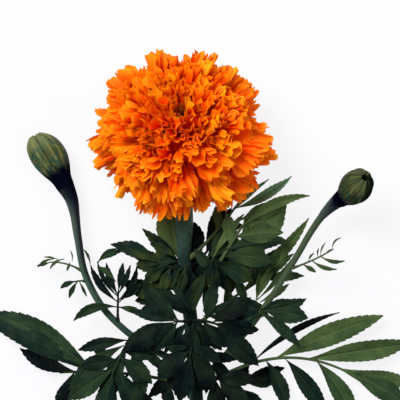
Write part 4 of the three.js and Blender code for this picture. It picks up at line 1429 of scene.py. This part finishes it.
def leaflet(base, tip, width, bow, arch, tone, leaves, draw):
    """A leaflet: saw teeth, a sunken midrib, raised fields between veins, and a waved margin."""
    span = tip - base
    length = float(np.linalg.norm(span))
    side = unit(np.cross(span, UP))
    face = unit(np.cross(side, span))
    teeth = int(np.clip(round(length * MM / leaves.tooth), 3, 16))
    along = np.append((np.arange(teeth)[:, None] + TOOTH_STEPS).ravel() / teeth, 1.0)
    rise = np.append(np.tile(TOOTH_RISE, teeth), 0.0)

    def middle_at(share):
        hump = (4 * length * share * (1 - share))[:, None]
        return base + span * share[:, None] + hump * (bow * side + arch * face)

    middle = middle_at(along)
    tangent = unit(middle_at(along + 0.01) - middle_at(along - 0.01))
    right = unit(np.cross(tangent, face))
    up = unit(np.cross(right, tangent))
    roll = math.radians(draw.uniform(-16, 16))
    roll = roll + math.radians(draw.uniform(-24, 24)) * (along - 0.4)
    cosine, sine = np.cos(roll)[:, None], np.sin(roll)[:, None]
    right, up = right * cosine + up * sine, up * cosine - right * sine

    # From here on a row of points lies across, from -1 to 1, at each share of the length
    pitch = length / teeth
    full = fullness(np.clip(along, 0, 1))
    tooth = min(0.12 * pitch, 0.045 * width) * (rise - 0.75) * ease(full, 0.1, 0.6)
    half = np.maximum(min(0.28, 0.16 * width), width / 2 * 1.02 * full + tooth)[:, None]
    along, rise, full = along[:, None], rise[:, None], full[:, None]
    across = LEAFLET_COLUMNS[None, :]
    off_middle = np.abs(across)
    big = min(1.0, width / 9)
    fold = math.tan(math.radians(draw.uniform(4, 20) * (1 if draw.random() < 0.75 else -0.7)))
    vein = along * teeth - 0.95 * off_middle
    phases = np.where(across < 0, draw.uniform(0, TAU), draw.uniform(0, TAU))
    beats = draw.uniform(1.4, 2.6)
    lift = fold * off_middle * half
    lift = lift + leaves.wave / MM * big * across**2 * np.sin(TAU * beats * along + phases)
    lift = lift + 0.13 * big * np.cos(TAU * vein) * (1 - across**4) * off_middle**0.3
    lift = lift - 0.16 * (off_middle < 0.05)
    half_thickness = leaves.thickness / MM * (1 - 0.75 * across**4) * np.ones_like(half) / 2
    keel = 0.3 * np.exp(-((across * half / 0.5) ** 2)) * (1 - 0.7 * along)
    forward = 0.2 * pitch * rise * across**6 * ease(full, 0.05, 0.3)

    def over(distances, directions):
        return directions[:, None] * distances[..., None]

    place = middle[:, None] + over(across * half, right) + over(lift, up) + over(forward, tangent)
    top = place + over(half_thickness, up)
    bottom = place - over(half_thickness + keel, up)
    values = {
        # A random tone for each leaflet, and a small step between its halves, painted shade that makes
        # it look folded
        "tone": tone + draw.uniform(-0.1, 0.1) + draw.uniform(-0.05, 0.05) * np.sign(across),
        "vein": vein,
        "off_rib": off_middle * half / (1.15 - 0.6 * along),
        "across": across,
        "along": along * length / 10,
    }
    return blade(settle(top, LEAF_PRESS_HEIGHT), settle(bottom, LEAF_PRESS_HEIGHT), values)


def leaf_skin(name, leaves):
    """A leaf: its rib, and its leaflets from the table."""
    spec = LEAVES[name]
    draw = np.random.default_rng(sum(map(ord, name)))
    curve = BentCurve(spec["rib"])
    slim = spec.get("slim", 0.85)
    start = clear_share(spec.get("stem", "main_stem"), curve, slim)
    tone = spec["tone"]
    shares = np.linspace(0, 1, 32)
    points, _, rights, normals = frames_along(curve, shares)
    turns = turns_of(8)
    flare = 0.9 + 0.5 * np.exp(-np.maximum(shares - start, 0) / 0.05)
    radii = (slim * (1 - 0.4 * shares) * flare)[:, None] * (1 + 0.12 * np.cos(2 * turns))
    skin = Skin(tube(rings_round(points, rights, normals, radii, turns), {
        "tone": 0.9 * tone, "vein": 0.0, "off_rib": 0.25, "across": 0.5,
        "along": 3 * shares[:, None],
    }))
    for at, tip, width, *form in spec["single"]:
        bow, arch, shade = form + [0, 0.07, tone][len(form):]
        base = curve.at([at])[0]
        skin.add(*leaflet(base, np.array(tip, float), width, bow, arch, shade, leaves, draw))
    for base, tip, width, *form in spec.get("more", ()):
        shade = form[0] if form else tone
        bow = form[1] if len(form) > 1 else draw.uniform(-0.06, 0.06)
        ends = np.array([base, tip], float)
        skin.add(*leaflet(*ends, width, bow, 0.05, shade, leaves, draw))
    skin.values["olive"] = [np.full(skin.count, spec.get("olive", 0.15))]
    return skin


class MARIGOLD_OT_leaves(bpy.types.Operator):
    """Makes the feathered leaves with their toothed leaflets"""

    bl_idname = "marigold.leaves"
    bl_label = "Leaves"

    def execute(self, context):
        leaves = context.scene.marigold_leaves
        surface = leaf_finish(leaves)
        for name in LEAVES:
            mesh = leaf_skin(name, leaves).mesh(f"{name}_blades")
            place_piece(f"{name}_blades", mesh, name, surface)
        return {"FINISHED"}


# Floor, light and camera
class MARIGOLD_OT_stage(bpy.types.Operator):
    """Makes the pale floor, the soft light and the camera that looks straight down"""

    bl_idname = "marigold.stage"
    bl_label = "Stage"

    def execute(self, context):
        scene = context.scene
        stage = scene.marigold_stage
        reach = 6.0
        mesh = bpy.data.meshes.new("pale_floor")
        corners = [(-reach, -reach, 0), (reach, -reach, 0), (reach, reach, 0), (-reach, reach, 0)]
        mesh.from_pydata(corners, [], [(0, 1, 2, 3)])
        mesh.materials.append(floor_finish(stage))
        floor = show("pale_floor", mesh)

        aim = Vector((0, stage.aim, 0.02))
        for name, power, width, place in (
            ("main_light", stage.key, 0.7, Vector((-0.55, 0.62, 1.25))),
            ("fill_light", stage.fill, 1.1, Vector((1.0, -0.25, 0.9))),
        ):
            light = bpy.data.lights.new(name, "AREA")
            light.energy = power
            light.size = width
            lamp = show(name, light)
            lamp.location = place
            lamp.rotation_euler = (aim - place).to_track_quat("-Z", "Y").to_euler()
        world = bpy.data.worlds.new("studio")
        world.use_nodes = True
        background = world.node_tree.nodes["Background"]
        background.inputs["Color"].default_value = (1, 1, 1, 1)
        background.inputs["Strength"].default_value = stage.room
        scene.world = world
        scene.view_settings.view_transform = "Standard"

        camera = bpy.data.cameras.new("camera")
        camera.sensor_width = 36
        camera.lens = camera.sensor_width * stage.height / stage.view_width
        view = show("camera", camera)
        view.location = (0, stage.aim, stage.height)
        scene.camera = view
        return {"FINISHED"}


class MARIGOLD_PT_panel(bpy.types.Panel):
    """Lists the makers of the marigold's pieces, with their settings"""

    bl_label = "Marigold"
    bl_space_type = "VIEW_3D"
    bl_region_type = "UI"
    bl_category = "Marigold"

    def draw(self, context):
        for operator, settings in MAKERS:
            self.layout.operator(f"marigold.{operator}")
            group = getattr(context.scene, f"marigold_{settings}")
            for name in group.__annotations__:
                self.layout.prop(group, name)


SETTINGS = {
    "bloom": MarigoldBloomSettings,
    "stems": MarigoldStemSettings,
    "buds": MarigoldBudSettings,
    "leaves": MarigoldLeafSettings,
    "stage": MarigoldStageSettings,
}
# Each operator, with the settings that it reads
MAKERS = (
    ("bloom", "bloom"),
    ("cup", "buds"),
    ("stems", "stems"),
    ("buds", "buds"),
    ("leaves", "leaves"),
    ("stage", "stage"),
)
CLASSES = (
    *SETTINGS.values(),
    MARIGOLD_OT_bloom,
    MARIGOLD_OT_cup,
    MARIGOLD_OT_stems,
    MARIGOLD_OT_buds,
    MARIGOLD_OT_leaves,
    MARIGOLD_OT_stage,
    MARIGOLD_PT_panel,
)


def register():
    for made in CLASSES:
        bpy.utils.register_class(made)
    for name, settings in SETTINGS.items():
        setattr(bpy.types.Scene, f"marigold_{name}", bpy.props.PointerProperty(type=settings))


def unregister():
    for name in SETTINGS:
        delattr(bpy.types.Scene, f"marigold_{name}")
    for made in reversed(CLASSES):
        bpy.utils.unregister_class(made)


def main():
    register()
    for operator, _ in MAKERS:
        getattr(bpy.ops.marigold, operator)()


if __name__ == "__main__":
    main()
